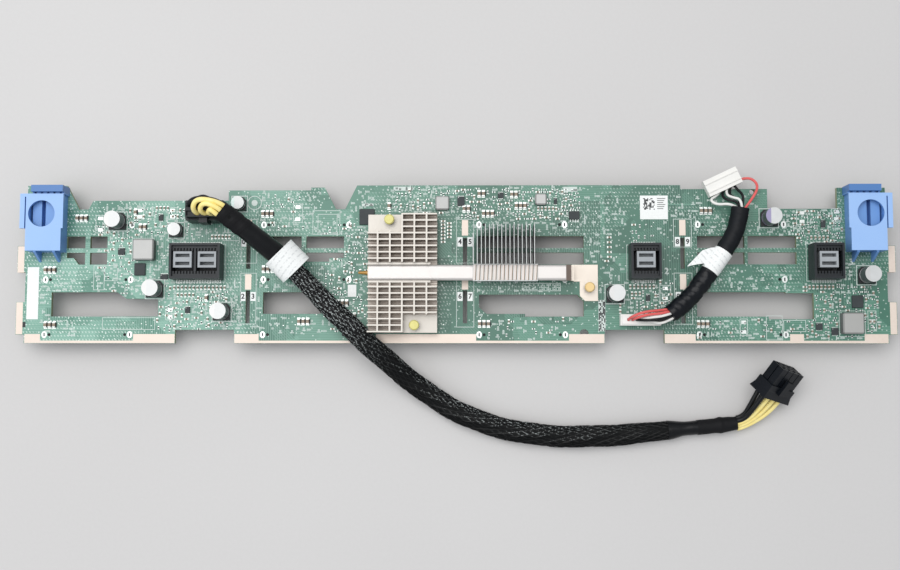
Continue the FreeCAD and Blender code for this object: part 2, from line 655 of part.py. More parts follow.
# Long air slots stand between the middle and lower socket rows, one to a column.
slot_top = middle_row_y - slot_below_row
slot_foot = slot_top - slot_height
slots = new_sketch(board, "XY_Plane")
draw_polygon(slots, [
    (column_x[0] - 17.8, slot_foot),
    (column_x[0] + 34.7, slot_foot),
    (column_x[0] + 34.7, slot_top - slot_chamfer),
    (column_x[0] + 19.1, slot_top - slot_chamfer),
    (column_x[0] + 14.6, slot_top),
    (column_x[0] - 17.8, slot_top),
])
draw_rectangle(slots, column_x[1] - 20.9, column_x[1] + 7.5, slot_foot + slot_step, slot_top)
draw_polygon(slots, [
    (column_x[2] - 21.0, slot_foot + slot_step + slot_chamfer),
    (column_x[2] - 17.3, slot_foot + slot_step),
    (column_x[2] + 1.4, slot_foot + slot_step),
    (column_x[2] + 1.4, slot_foot),
    (column_x[2] + 30.0, slot_foot),
    (column_x[2] + 30.0, slot_top - 1.2 - slot_chamfer),
    (column_x[2] + 26.8, slot_top - 1.2),
    (column_x[2] - 21.0, slot_top - 1.2),
])
draw_polygon(slots, [
    (column_x[3] - 21.9, slot_foot),
    (column_x[3] + 12.8, slot_foot),
    (column_x[3] + 12.8, slot_foot - slot_step),
    (column_x[3] + 34.7, slot_foot - slot_step),
    (column_x[3] + 34.7, slot_top - 0.5),
    (column_x[3] + 21.2, slot_top - 0.5),
    (column_x[3] + 21.2, slot_top),
    (column_x[3] - 21.9, slot_top),
])
for index in (-1, 0, 1):
    left = rib_slot_middle_x + index * rib_slot_pitch - rib_slot_width / 2
    right = left + rib_slot_width
    draw_rectangle(slots, left, right, middle_row_y + rib_slot_upper_low, middle_row_y + rib_slot_upper_high)
    draw_rectangle(slots, left, right, middle_row_y - rib_slot_lower_low, middle_row_y - rib_slot_lower_high)
pocket_through(board, slots)

sink_y = middle_row_y + sink_above_row
rail_y = middle_row_y + rail_above_row
pipe_start = sink_x - sink_width / 2
pipe_end = pipe_start + pipe_length + pipe_end_taper
bracket_left = pipe_end + 0.9
bracket_right = bracket_left + bracket_width
bracket_top = rail_y + pipe_width / 2 + 0.6
pin_spots = [
    (sink_x - sink_width / 2 + pin_upper_side, sink_y + sink_depth / 2 - pin_upper_edge),
    (sink_x + sink_width / 2 - pin_lower_side, sink_y - sink_depth / 2 + pin_lower_edge),
    (bracket_right - bracket_pin_inset, bracket_top - bracket_drop + bracket_pin_rise),
]
pin_hole_radius = pin_shank_radius + pin_hole_clearance

holes = new_sketch(board, "XY_Plane")
draw_circle(holes, locating_hole_x, foot_edge + locating_hole_edge, locating_hole_radius)
draw_circle(holes, small_hole_x, latch_edge - small_hole_edge, small_hole_radius)
for column in column_x:
    for row in row_y:
        draw_circle(holes, column - peg_spacing / 2, row, peg_radius + peg_clearance)
        draw_circle(holes, column + peg_spacing / 2, row, peg_radius + peg_clearance)
for x, y in pin_spots:
    draw_circle(holes, x, y, pin_hole_radius)
pocket_through(board, holes)
keep(place(board, 0, 0, board_bottom), "circuit_board")


# ---------------------------------------------------------------- drive sockets

def drive_socket(x, y):
    """One upright drive socket: a slotted body, two guide towers and two pegs, mouth down."""
    tower_offset = (socket_length - tower_length) / 2
    body_bottom = board_bottom - socket_body_height
    body = middle_box(socket_length - tower_length, socket_width, socket_body_height, x, y, body_bottom)
    parts = [body]
    for side in (-1, 1):
        tower_x = x + side * tower_offset
        post_height = tower_height - tower_tip
        tip_length = tower_length - 2 * tower_taper
        tip_width = socket_width - 2 * tower_taper
        parts.append(middle_box(tower_length, socket_width, post_height, tower_x, y, tower_tip))
        parts.append(tapered_block(tip_length, tip_width, tower_length, socket_width, tower_tip,
                                   tower_x, y, 0))
        parts.append(cylinder(peg_radius, board_thickness, x + side * peg_spacing / 2, y, board_bottom))
    blade = middle_box(tongue_slot_length, tongue_slot_width, tongue_slot_depth, x, y, body_bottom)
    key_x = x - tongue_slot_length / 2 + key_slot_length / 2
    key = middle_box(key_slot_length, key_slot_width, tongue_slot_depth, key_x, y, body_bottom)
    return cut(fuse(parts), [blade, key])


for row_index, row in enumerate(row_y):
    for column_index, column in enumerate(column_x):
        number = row_index * len(column_x) + column_index + 1
        keep(drive_socket(column, row), f"drive_socket_{number:02d}")

# ---------------------------------------------------------------- expander chip and its heatsink

chip_carrier = middle_box(chip_side, chip_side, chip_height - chip_lid_height, sink_x, sink_y, board_top)
chip_lid_z = board_top + chip_height - chip_lid_height
chip_lid = middle_box(chip_lid_side, chip_lid_side, chip_lid_height, sink_x, sink_y, chip_lid_z)
keep(fuse([chip_carrier, chip_lid]), "expander_chip")

pad_z = board_top + chip_height
keep(middle_box(pad_side, pad_side, pad_thickness, sink_x, sink_y, pad_z), "thermal_pad")

sink_z = pad_z + pad_thickness
fin_z = sink_z + sink_base
pipe_z = fin_z + pipe_seat
rail_height = pipe_seat + pipe_height
sink_left = sink_x - sink_width / 2
sink_right = sink_x + sink_width / 2
sink_low = sink_y - sink_depth / 2
sink_high = sink_y + sink_depth / 2
rail_low = rail_y - rail_width / 2
rail_high = rail_y + rail_width / 2


def heatsink():
    """A cast base with fins along the board, cross ribs, two plain ears and a rail for the pipe."""
    parts = [middle_box(sink_width, sink_depth, sink_base, sink_x, sink_y, sink_z)]
    ear_low = sink_high - sink_ear_depth
    upper_run = (sink_high - rail_high).number
    for index in range(int(upper_run / sink_fin_pitch.number) + 1):
        y = sink_high - sink_fin - index * sink_fin_pitch
        start = sink_left + sink_ear_width if y.number > ear_low.number else sink_left
        parts.append(box(sink_right - start, sink_fin, sink_fin_height, start, y, fin_z))
    ear_high = sink_low + sink_ear_depth
    lower_run = (rail_low - sink_low).number
    for index in range(int(lower_run / sink_fin_pitch.number) + 1):
        y = sink_low + index * sink_fin_pitch
        end = sink_right - sink_ear_width if y.number < ear_high.number else sink_right
        parts.append(box(end - sink_left, sink_fin, sink_fin_height, sink_left, y, fin_z))
    rib_count = int((sink_width.number - sink_rib.number) / sink_rib_pitch.number)
    for index in range(rib_count):
        x = sink_x + (index - (rib_count - 1) / 2) * sink_rib_pitch - sink_rib / 2
        top = ear_low if x.number < (sink_left + sink_ear_width).number - 1 else sink_high
        bottom = ear_high if x.number > (sink_right - sink_ear_width).number else sink_low
        parts.append(box(sink_rib, top - rail_high, sink_fin_height, x, rail_high, fin_z))
        parts.append(box(sink_rib, rail_low - bottom, sink_fin_height, x, bottom, fin_z))
    rail_wall = (rail_width - pipe_width) / 2 - pipe_gap
    rail_run = sink_width - rail_end_cut
    parts.append(box(rail_run, rail_wall, rail_height, sink_left, rail_low, fin_z))
    parts.append(box(rail_run, rail_wall, rail_height, sink_left, rail_high - rail_wall, fin_z))
    parts.append(box(sink_width, pipe_width, pipe_seat, sink_left, rail_y - pipe_width / 2, fin_z))
    pin_holes = [cylinder(pin_hole_radius, sink_base, x, y, sink_z) for x, y in pin_spots[:2]]
    return cut(fuse(parts), pin_holes)


keep(heatsink(), "heatsink")


def along_board(item, x, y, z):
    """Turn an upright piece to point along +X and put its foot at a place."""
    turn = FreeCAD.Rotation(Vector(0, 1, 0), 90)
    item.Placement = FreeCAD.Placement(Vector(0, 0, 0), turn)
    return place(item, x, y, z)


def heat_pipe():
    """A flattened pipe with round edges, a crimped far end and a pinched filling tail."""
    radius = pipe_height / 2
    flat = box(pipe_length, pipe_width - pipe_height, pipe_height, pipe_start, rail_y - pipe_width / 2 + radius, pipe_z)
    parts = [flat]
    for side in (-1, 1):
        edge = doc.addObject("Part::Cylinder", "edge")
        bind(edge, "Radius", radius)
        bind(edge, "Height", pipe_length)
        parts.append(along_board(edge, pipe_start, rail_y + side * (pipe_width / 2 - radius), pipe_z + radius))
    crimp = tapered_block(pipe_height, pipe_width, pipe_height / 4, pipe_width, pipe_end_taper, 0, 0, 0)
    crimp.Placement = FreeCAD.Placement(
        Vector(0, 0, 0), FreeCAD.Rotation(Vector(0, 1, 0), 90) * crimp.Placement.Rotation)
    parts.append(place(crimp, pipe_start + pipe_length, rail_y, pipe_z + radius))
    tail = doc.addObject("Part::Cone", "tail")
    bind(tail, "Radius1", pipe_tail_radius / 2)
    bind(tail, "Radius2", pipe_tail_radius)
    bind(tail, "Height", pipe_tail_length)
    parts.append(along_board(tail, pipe_start - pipe_tail_length, rail_y, pipe_z + radius))
    return fuse(parts)


keep(heat_pipe(), "heat_pipe")

pipe_low = rail_y - pipe_width / 2
pipe_high = rail_y + pipe_width / 2
pipe_top = pipe_z + pipe_height


def fin_stack():
    """Stamped fins whose hems wrap the pipe and join into one sleeve."""
    start = sink_right + stack_start
    length = stack_count * stack_pitch
    outer = box(length, pipe_width + 2 * stack_hem, pipe_height + 2 * stack_hem,
                start, pipe_low - stack_hem, pipe_z - stack_hem)
    inner = box(length, pipe_width, pipe_height, start, pipe_low, pipe_z)
    parts = [cut(outer, [inner])]
    for index in range(int(stack_count.number)):
        reach = stack_reach - stack_corner * (1 - index / 2) if index < 2 else stack_reach
        height = stack_drop + pipe_height + stack_rise
        parts.append(box(stack_fin, reach, height, start + index * stack_pitch, pipe_high, pipe_z - stack_drop))
    return fuse(parts)


keep(fin_stack(), "fin_stack")

bracket_leg_left = bracket_right - bracket_leg
bracket_foot_low = pipe_low
bracket_low = bracket_top - bracket_drop
bracket_plate = plate(
    "bracket_plate",
    [
        (bracket_left, bracket_foot_low),
        (bracket_leg_left, bracket_foot_low),
        (bracket_leg_left, bracket_low + bracket_cut),
        (bracket_leg_left + bracket_cut, bracket_low),
        (bracket_right, bracket_low),
        (bracket_right, bracket_top),
        (bracket_left, bracket_top),
    ],
    bracket_thickness,
    board_top,
    [pin_spots[2] + (pin_hole_radius,)],
)
riser_height = pipe_z - board_top
riser = box(bracket_thickness, pipe_width, riser_height, bracket_left, pipe_low, board_top)
ledge_x = bracket_left - bracket_shelf
ledge_z = pipe_z - bracket_thickness
ledge = box(bracket_shelf + bracket_thickness, pipe_width, bracket_thickness, ledge_x, pipe_low, ledge_z)
keep(fuse([bracket_plate, riser, ledge]), "pipe_bracket")


# ---------------------------------------------------------------- push pins and springs

def push_pin(x, y, seat):
    """A pin with a domed head on its spring, a shank through the board and a barb under it."""
    head_z = seat + pin_spring_height
    head = cylinder(pin_head_radius, pin_head_height / 2, x, y, head_z)
    crown = cone(pin_head_radius, pin_head_radius * 0.8, pin_head_height / 2, x, y, head_z + pin_head_height / 2)
    shank = cylinder(pin_shank_radius, head_z - board_bottom, x, y, board_bottom)
    barb = cone(pin_shank_radius / 2, pin_barb_radius, pin_barb_height, x, y, board_bottom - pin_barb_height)
    return fuse([head, crown, shank, barb])


def pin_spring(x, y, seat):
    """The closed outer form of the spring under a pin's head."""
    outer = cylinder(pin_spring_radius, pin_spring_height, x, y, seat)
    inner = cylinder(pin_spring_radius - pin_spring_wall, pin_spring_height, x, y, seat)
    return cut(outer, [inner])


def group(items, name):
    """Identical fasteners as separate solids of one node."""
    item = doc.addObject("Part::Compound", "group")
    item.Links = items
    return keep(item, name)


pin_seats = [fin_z, fin_z, board_top + bracket_thickness]
pins = [push_pin(x, y, seat) for (x, y), seat in zip(pin_spots, pin_seats)]
springs = [pin_spring(x, y, seat) for (x, y), seat in zip(pin_spots, pin_seats)]
group(pins, "push_pins")
group(springs, "push_pin_springs")


# ---------------------------------------------------------------- release latches

def gusset(x, y, z, height):
    """A thin leg that leans from the front of a latch down to the board."""
    leg = doc.addObject("Part::Wedge", "gusset")
    leg.Placement = FreeCAD.Placement(Vector(0, 0, 0), FreeCAD.Rotation(Vector(1, 0, 0), 90))
    limits = {
        "Xmin": -latch_gusset / 2,
        "Xmax": latch_gusset / 2,
        "X2min": -latch_gusset / 2,
        "X2max": latch_gusset / 2,
        "Ymin": 0,
        "Ymax": height,
        "Zmin": 0,
        "Zmax": latch_gusset_reach,
        "Z2min": 0,
        "Z2max": latch_gusset_reach / 8,
    }
    for name, value in limits.items():
        bind(leg, name, value)
    return place(leg, x, y, z)


def latch(side):
    """A moulded latch for one end of the board. Side is -1 for the left end and 1 for the right."""
    hole_x = side * (board_end - latch_inset)
    hole_y = middle_row_y + latch_above_row
    top_z = board_top + latch_height
    plate_z = top_z - latch_plate
    outer_x = hole_x + side * latch_face / 2
    inner_x = hole_x - side * latch_face / 2
    face_high = hole_y + latch_upper
    shoulder = hole_y - latch_shoulder
    face_low = hole_y - latch_lower
    neck_outer = outer_x - side * latch_neck_outer
    neck_inner = inner_x + side * latch_neck_inner
    neck_width = latch_face - latch_neck_outer - latch_neck_inner
    neck_x = (neck_outer + neck_inner) / 2
    face_y = (face_high + shoulder) / 2
    inside_y = (face_high + face_low) / 2
    inside_depth = face_high - face_low
    block_width = latch_face - latch_block_inset
    block_x = inner_x + side * block_width / 2
    block_y = face_high + latch_block_gap + latch_block_depth / 2
    lip_y = face_high + latch_block_gap / 2

    parts = [
        middle_box(latch_face, latch_upper + latch_shoulder, latch_plate, hole_x, face_y, plate_z),
        middle_box(neck_width, inside_depth, latch_plate, neck_x, inside_y, plate_z),
        middle_box(neck_width, inside_depth, latch_floor, neck_x, inside_y, board_top),
        middle_box(latch_wall, inside_depth, latch_height, neck_outer - side * latch_wall / 2, inside_y, board_top),
        middle_box(latch_wall, inside_depth, latch_height, neck_inner + side * latch_wall / 2, inside_y, board_top),
        middle_box(neck_width, latch_wall, latch_height, neck_x, face_low + latch_wall / 2, board_top),
        middle_box(block_width, latch_block_depth, latch_block_height, block_x, block_y, board_top),
        middle_box(block_width, latch_block_gap, latch_height - latch_lip_drop, block_x, lip_y, board_top),
    ]
    for step in (-1, 1):
        rib_x = hole_x + step * (latch_rib + latch_rib_gap) / 2
        rib_height = latch_floor + latch_rib_height
        parts.append(middle_box(latch_rib, inside_depth - latch_wall, rib_height, rib_x, inside_y, board_top))
    gusset_height = latch_height - latch_plate / 2
    parts.append(gusset(hole_x + side * latch_gusset_outer, face_low, board_top, gusset_height))
    parts.append(gusset(hole_x + side * (latch_gusset_outer - latch_gusset_spacing), face_low, board_top,
                        gusset_height))

    tools = [cylinder(latch_hole_radius, latch_plate, hole_x, hole_y, plate_z)]
    arm_length = latch_upper + latch_shoulder - latch_arm_root
    slit_x = neck_outer + side * latch_slit / 2
    tools.append(middle_box(latch_slit, arm_length, latch_plate, slit_x, shoulder + arm_length / 2, plate_z))
    for index in range(int(latch_notch_count.number)):
        offset = (index - (latch_notch_count - 1) / 2) * (block_width / latch_notch_count)
        notch_z = top_z - latch_lip_drop - latch_notch
        tools.append(middle_box(latch_notch, latch_block_gap, latch_notch, block_x + offset, lip_y, notch_z))
    return cut(fuse(parts), tools)


keep(latch(-1), "latch_left")
keep(latch(1), "latch_right")


# ---------------------------------------------------------------- cable ports

port_y = middle_row_y + port_row_offset


def port_housing(x, width, walls):
    """An open housing with two toothed ledges, and with walls across it."""
    room_width = width - 2 * port_wall
    room_depth = port_depth - 2 * port_wall
    floor_z = board_top + port_floor
    shell = middle_box(width, port_depth, port_height, x, port_y, board_top)
    room = middle_box(room_width, room_depth, port_height - port_floor, x, port_y, floor_z)
    parts = [cut(shell, [room])]
    ledge_height = port_height - port_floor - port_ledge_drop
    ledges = []
    for side in (-1, 1):
        ledge_y = port_y + side * (room_depth - port_ledge) / 2
        ledges.append(middle_box(room_width, port_ledge, ledge_height, x, ledge_y, floor_z))
    for offset in walls:
        ledges.append(middle_box(port_wall, room_depth, ledge_height, x + offset, port_y, floor_z))
    gaps = []
    gap_count = int(room_width.number / port_tooth.number)
    for side in (-1, 1):
        gap_y = port_y + side * (room_depth - 1.5 * port_ledge) / 2
        for index in range(gap_count):
            gap_x = x + (index - (gap_count - 1) / 2) * port_tooth
            gap_z = floor_z + ledge_height - port_tooth
            gaps.append(middle_box(port_tooth / 2, port_ledge / 2, port_tooth, gap_x, gap_y, gap_z))
    parts.append(cut(fuse(ledges), gaps))
    return fuse(parts)


def port_wafer(x):
    """The block of contacts in a port, with its two slots."""
    wafer_y = port_y + wafer_offset
    height = port_height - port_floor - wafer_drop
    top_z = board_top + port_height - wafer_drop
    block = middle_box(wafer_width, wafer_depth, height, x, wafer_y, board_top + port_floor)
    slot_z = top_z - wafer_slot_depth
    slots = []
    for side in (-1, 1):
        slot_y = wafer_y + side * wafer_slot_spacing / 2
        slots.append(middle_box(wafer_slot_length, wafer_slot_width, wafer_slot_depth, x, slot_y, slot_z))
    return cut(block, slots)


keep(port_housing(dual_port_x, dual_port_width, [0]), "dual_port_housing")
keep(port_wafer(dual_port_x - wafer_pitch / 2), "dual_port_wafer_1")
keep(port_wafer(dual_port_x + wafer_pitch / 2), "dual_port_wafer_2")
keep(port_housing(port_1_x, port_width, []), "port_housing_1")
keep(port_wafer(port_1_x), "port_wafer_1")
port_2_x = board_end - port_2_inset
keep(port_housing(port_2_x, port_width, []), "port_housing_2")
keep(port_wafer(port_2_x), "port_wafer_2")


# ---------------------------------------------------------------- capacitors, inductors and chips

def capacitor(x, y, radius, height):
    """A can with a crimp groove on a square base with two cut corners."""
    half = radius + can_base_margin
    base = plate(
        "capacitor_base",
        [
            (-half, -half),
            (half, -half),
            (half, half - can_base_cut),
            (half - can_base_cut, half),
            (can_base_cut - half, half),
            (-half, half - can_base_cut),
        ],
        can_base,
        0,
    )
    place(base, x, y, board_top)
    can = cylinder(radius, height - can_base, x, y, board_top + can_base)
    ring = doc.addObject("Part::Torus", "groove")
    bind(ring, "Radius1", radius + can_groove / 3)
    bind(ring, "Radius2", can_groove)
    place(ring, x, y, board_top + can_groove_height)
    return cut(fuse([base, can]), [ring])


large_can = (can_radius, can_height)
small_can = (small_can_radius, small_can_height)
capacitor_places = [
    (-board_end + 44.8, 28.7, large_can),
    (column_x[0] + 42.95, 24.25, small_can),
    (column_x[0] + 32.9, -4.7, large_can),
    (dual_port_x + 11.6, -15.85, large_can),
    (column_x[1] - 33.1, 37.3, small_can),
    (bracket_right + 8.2, -7.2, large_can),
    (column_x[3] + 13.8, 30.0, large_can),
    (board_end - 10.2, 2.0, large_can),
]
for index, (x, above_row, (radius, height)) in enumerate(capacitor_places, 1):
    keep(capacitor(x, middle_row_y + above_row, radius, height), f"capacitor_{index}")

large_coil = (coil_side, coil_height)
medium_coil = (small_coil_side, small_coil_height)
small_coil = (tiny_coil_side, small_coil_height)
inductor_places = [
    (column_x[0] + 27.9, 14.4, large_coil),
    (sink_x + 19.15, 37.4, medium_coil),
    (column_x[2] + 9.3, 39.2, small_coil),
    (board_end - 18.4, -21.5, large_coil),
]
for index, (x, above_row, (side, height)) in enumerate(inductor_places, 1):
    y = middle_row_y + above_row
    bevelled_block(f"inductor_{index}", side, side, height, x, y, board_top, coil_bevel)

chip_places = {
    "regulator_chip_1": (column_x[0] + 25.5, 5.0, regulator_width, regulator_depth, small_chip_height),
    "regulator_chip_2": (board_end - 15.0, -10.85, regulator_width, regulator_depth, small_chip_height),
    "controller_chip": (column_x[1] + 29.75, 30.8, controller_width, controller_depth, small_chip_height),
    "memory_chip": (column_x[2] + 25.65, 31.4, memory_width, memory_depth, memory_height),
}
for name, (x, above_row, width, depth, height) in chip_places.items():
    bevelled_block(name, width, depth, height, x, middle_row_y + above_row, board_top, chip_bevel)


# ---------------------------------------------------------------- power connector on the board

header_y = middle_row_y + header_above_row
header_top = board_top + header_height
plug_z = header_top - plug_entry
plug_top = header_top + plug_rise
plug_width = header_length - 2 * header_wall - 2 * header_fit
plug_depth = header_width - 2 * header_wall - 2 * header_fit
header_front = header_y - header_width / 2
column_steps = (-1.5, -0.5, 0.5, 1.5)
row_steps = (-0.5, 0.5)

header_shell = middle_box(header_length, header_width, header_height, header_x, header_y, board_top)
header_catch = middle_box(header_latch_width, header_latch_depth, header_height / 2, header_x,
                          header_front - header_latch_depth / 2, board_top + header_height / 2)
header_room = middle_box(header_length - 2 * header_wall, header_width - 2 * header_wall, plug_entry,
                         header_x, header_y, plug_z)
keep(cut(fuse([header_shell, header_catch]), [header_room]), "power_header")

plug_body = middle_box(plug_width, plug_depth, plug_entry + plug_rise, header_x, header_y, plug_z)
plug_lever = middle_box(header_latch_width, header_wall + header_latch_depth, plug_rise / 2, header_x,
                        header_y - plug_depth / 2 - (header_wall + header_latch_depth) / 2,
                        header_top + header_fit)
plug_cells = []
for column_step in column_steps:
    for row_step in row_steps:
        plug_cells.append(middle_box(
            plug_cell,
            plug_cell,
            plug_cell_depth,
            header_x + column_step * circuit_pitch,
            header_y + row_step * circuit_pitch,
            plug_top - plug_cell_depth,
        ))
keep(cut(fuse([plug_body, plug_lever]), plug_cells), "power_plug_near")


# ---------------------------------------------------------------- cables

def cable_path(points, diameter, role):
    """A wire of straight runs and tangent arcs through hand-picked points."""
    corners = [Vector(*point) for point in points]
    edges = []
    radii = []
    start = corners[0]
    for before, corner, after in zip(corners, corners[1:], corners[2:]):
        run_in = corner - before
        run_out = after - corner
        turn = run_in.getAngle(run_out)
        reach = 0.45 * min(run_in.Length, run_out.Length)
        radii.append(reach / math.tan(turn / 2))
        way_in = Vector(run_in).normalize()
        way_out = Vector(run_out).normalize()
        arc_start = corner - way_in * reach
        arc_end = corner + way_out * reach
        middle = (arc_start + arc_end) * 0.5
        centre = corner + (middle - corner).normalize() * (radii[-1] / math.cos(turn / 2))
        arc_middle = centre + (corner - centre).normalize() * radii[-1]
        edges.append(Part.LineSegment(start, arc_start).toShape())
        edges.append(Part.Arc(arc_start, arc_middle, arc_end).toShape())
        start = arc_end
    edges.append(Part.LineSegment(start, corners[-1]).toShape())
    path = doc.addObject("Part::Feature", "path")
    path.Shape = Part.Wire(edges)
    turns = [round(radius / diameter.number, 1) for radius in radii]
    print(role, "length", round(path.Shape.Length, 1), "arc radii in diameters", turns)
    return path


def tube(points, diameter, role):
    """A round cable swept along its path."""
    path = cable_path(points, diameter, role)
    start = Vector(*points[0])
    heading = Vector(*points[1]) - start
    section = doc.addObject("Part::Circle", "section")
    section.Placement = FreeCAD.Placement(start, FreeCAD.Rotation(Vector(0, 0, 1), heading))
    bind(section, "Radius", diameter / 2)
    item = doc.addObject("Part::Sweep", "cable")
    item.Sections = [section]
    item.Spine = (path, [])
    item.Solid = True
    item.Frenet = False
    tubes.append((role, item, path, diameter))
    return item


def towards(start, way, distance):
    """The point at a distance from a start, one way or, with a minus, the other."""
    return tuple(Vector(*start) + Vector(*way).normalize() * distance)

# The power cable stands out of its plug, crosses the board, goes over its bottom edge and lies on
# the surface below, as far as a loose plug like the one on the board.
sleeve_route = [
    (-108.0, 23.5, 35.5),
    (-96.0, 14.0, 30.0),
    (-80.5, -0.5, 19.8),
    (-61.5, -20.0, 20.2),
    (-43.0, -38.2, 21.0),
    (-27.0, -52.5, 9.5),
    (-12.0, -64.6, 4.8),
    (6.5, -75.6, 4.7),
    (29.0, -82.8, 4.8),
    (55.0, -85.8, 4.7),
    (83.0, -84.2, 4.8),
    (110.0, -80.7, 4.7),
    (127.0, -79.2, 4.7),
    (138.0, -77.5, 5.5),
]
keep(tube(sleeve_route, sleeve_diameter, "power_sleeve"), "power_sleeve")


def block_spots(middle, side, up, pitch_side, pitch_up):
    """The eight wire positions of a plug or of the sleeve's mouth, by column and row."""
    spots = {}
    for column, column_step in enumerate(column_steps):
        for row, row_step in enumerate(row_steps):
            shift = Vector(*side) * (column_step * pitch_side) + Vector(*up) * (row_step * pitch_up)
            spots[column, row] = tuple(Vector(*middle) + shift)
    return spots


pitch = circuit_pitch.number
spacing = wire_spacing.number
cell_floor = (plug_top - plug_cell_depth).number
near_cells = block_spots((header_x.number, header_y.number, cell_floor), (1, 0, 0), (0, 1, 0), pitch, pitch)
near_mouth = block_spots(sleeve_route[0], (-0.312, 0.248, -0.917), (0.623, 0.782, 0), spacing, spacing)
rises = (8.8, 6.8, 4.8, 2.8)
reaches = (7.8, 6.2, 4.6, 3.2)
rising = (0.03, 0.1, 1.0)
entering = (0.84, -0.392, -0.375)
near_wires = []
for (column, row), start in near_cells.items():
    if (column, row) == (0, 0):
        continue
    end = near_mouth[column, row]
    route = [
        start,
        towards(start, rising, rises[column]),
        towards(end, entering, -reaches[column]),
        end,
    ]
    near_wires.append(tube(route, power_wire, "power_wires_near"))
group(near_wires, "power_wires_near")

far_nose = Vector(0.508, 0.783, 0.358)
far_side = Vector(0.757, -0.208, -0.62)
far_turn = FreeCAD.Rotation(far_side, far_nose.cross(far_side), far_nose, "ZXY")
far_middle = (far_plug_x.number, far_plug_y.number, far_plug_z.number)
far_flange = block_spots(far_middle, tuple(far_side), (0.411, -0.586, 0.698), pitch, pitch)
far_mouth = block_spots(sleeve_route[-1], (0.166, -0.724, -0.667), (0.056, -0.666, 0.741), spacing, spacing)
leaving = (0.984, 0.161, 0.072)
wire_lead = 6.5
far_wires = []
for (column, row), start in far_mouth.items():
    if (column, row) == (3, 0):
        continue
    end = far_flange[column, row]
    route = [
        start,
        towards(start, leaving, wire_lead),
        towards(end, tuple(far_nose), -wire_lead),
        end,
    ]
    far_wires.append(tube(route, power_wire, "power_wires_far"))
group(far_wires, "power_wires_far")


def far_plug():
    """The loose power plug: a flared skirt, a body, keyed cells with contact holes and a lever."""
    skirt = tapered_block(header_length + 2 * far_skirt_flare, header_width + 2 * far_skirt_flare,
                          header_length, header_width, far_skirt_length / 2, 0, 0, 0)
    body = middle_box(header_length, header_width, far_skirt_length, 0, 0, 0)
    lever_y = -header_width / 2 - header_latch_depth / 2
    lever_length = far_skirt_length / 2 + far_plug_length / 2
    lever = middle_box(header_latch_width, header_latch_depth, lever_length, 0, lever_y, far_skirt_length / 2)
    cells = []
    bores = []
    for column_step in column_steps:
        for row_step in row_steps:
            x = column_step * circuit_pitch
            y = row_step * circuit_pitch
            bore_z = far_skirt_length + far_plug_length - far_cell_bore_depth
            cells.append(middle_box(far_cell, far_cell, far_plug_length, x, y, far_skirt_length))
            bores.append(middle_box(far_cell_bore, far_cell_bore, far_cell_bore_depth, x, y, bore_z))
    plug = cut(fuse([skirt, body, lever] + cells), bores)
    plug.Placement = FreeCAD.Placement(Vector(0, 0, 0), far_turn)
    return place(plug, far_plug_x, far_plug_y, far_plug_z)


keep(far_plug(), "power_plug_far")


def paper_band(width, height, length, paper, middle, way):
    """A loop of paper, flattened across its cable."""
    loops = []
    for inset in (as_length(0), as_length(paper)):
        ring = doc.addObject("Part::Ellipse", "ring")
        bind(ring, "MajorRadius", width / 2 - inset)
        bind(ring, "MinorRadius", height / 2 - inset)
        loop = doc.addObject("Part::Extrusion", "loop")
        loop.Base = ring
        loop.DirMode = "Normal"
        bind(loop, "LengthFwd", length)
        loop.Solid = True
        loops.append(loop)
    band = cut(loops[0], loops[1:])
    across = Vector(0, 0, 1).cross(Vector(*way))
    turn = FreeCAD.Rotation(across, Vector(0, 0, 1), Vector(*way), "ZXY")
    start = Vector(*middle) - Vector(*way).normalize() * (as_length(length).number / 2)
    band.Placement = FreeCAD.Placement(start, turn)
    return band


power_label = paper_band(power_label_width, power_label_height, power_label_length, power_label_paper,
                         (-80.6, 0.6, 22.0), (0.69, -0.70, -0.19))
keep(power_label, "power_label")


# ---------------------------------------------------------------- signal cable

signal_y = middle_row_y - signal_header_below_row
signal_room_length = signal_header_length - 2 * signal_header_wall
signal_room_width = signal_header_width - 2 * signal_header_wall
signal_floor_z = board_top + signal_header_wall
signal_shell = middle_box(signal_header_length, signal_header_width, signal_header_height,
                          signal_header_x, signal_y, board_top)
signal_room = middle_box(signal_room_length, signal_room_width, signal_header_height - signal_header_wall,
                         signal_header_x, signal_y, signal_floor_z)
keep(cut(signal_shell, [signal_room]), "signal_header")

signal_top = board_top + signal_plug_height
signal_plug_body = middle_box(signal_room_length - 2 * signal_fit, signal_room_width - 2 * signal_fit,
                              signal_plug_height - signal_header_wall, signal_header_x, signal_y, signal_floor_z)
signal_cells = []
for index in range(int(signal_circuits.number)):
    cell_x = signal_header_x + (index - (signal_circuits - 1) / 2) * signal_pitch
    signal_cells.append(middle_box(signal_cell, signal_cell, signal_cell_depth, cell_x, signal_y,
                                   signal_top - signal_cell_depth))
keep(cut(signal_plug_body, signal_cells), "signal_plug_near")

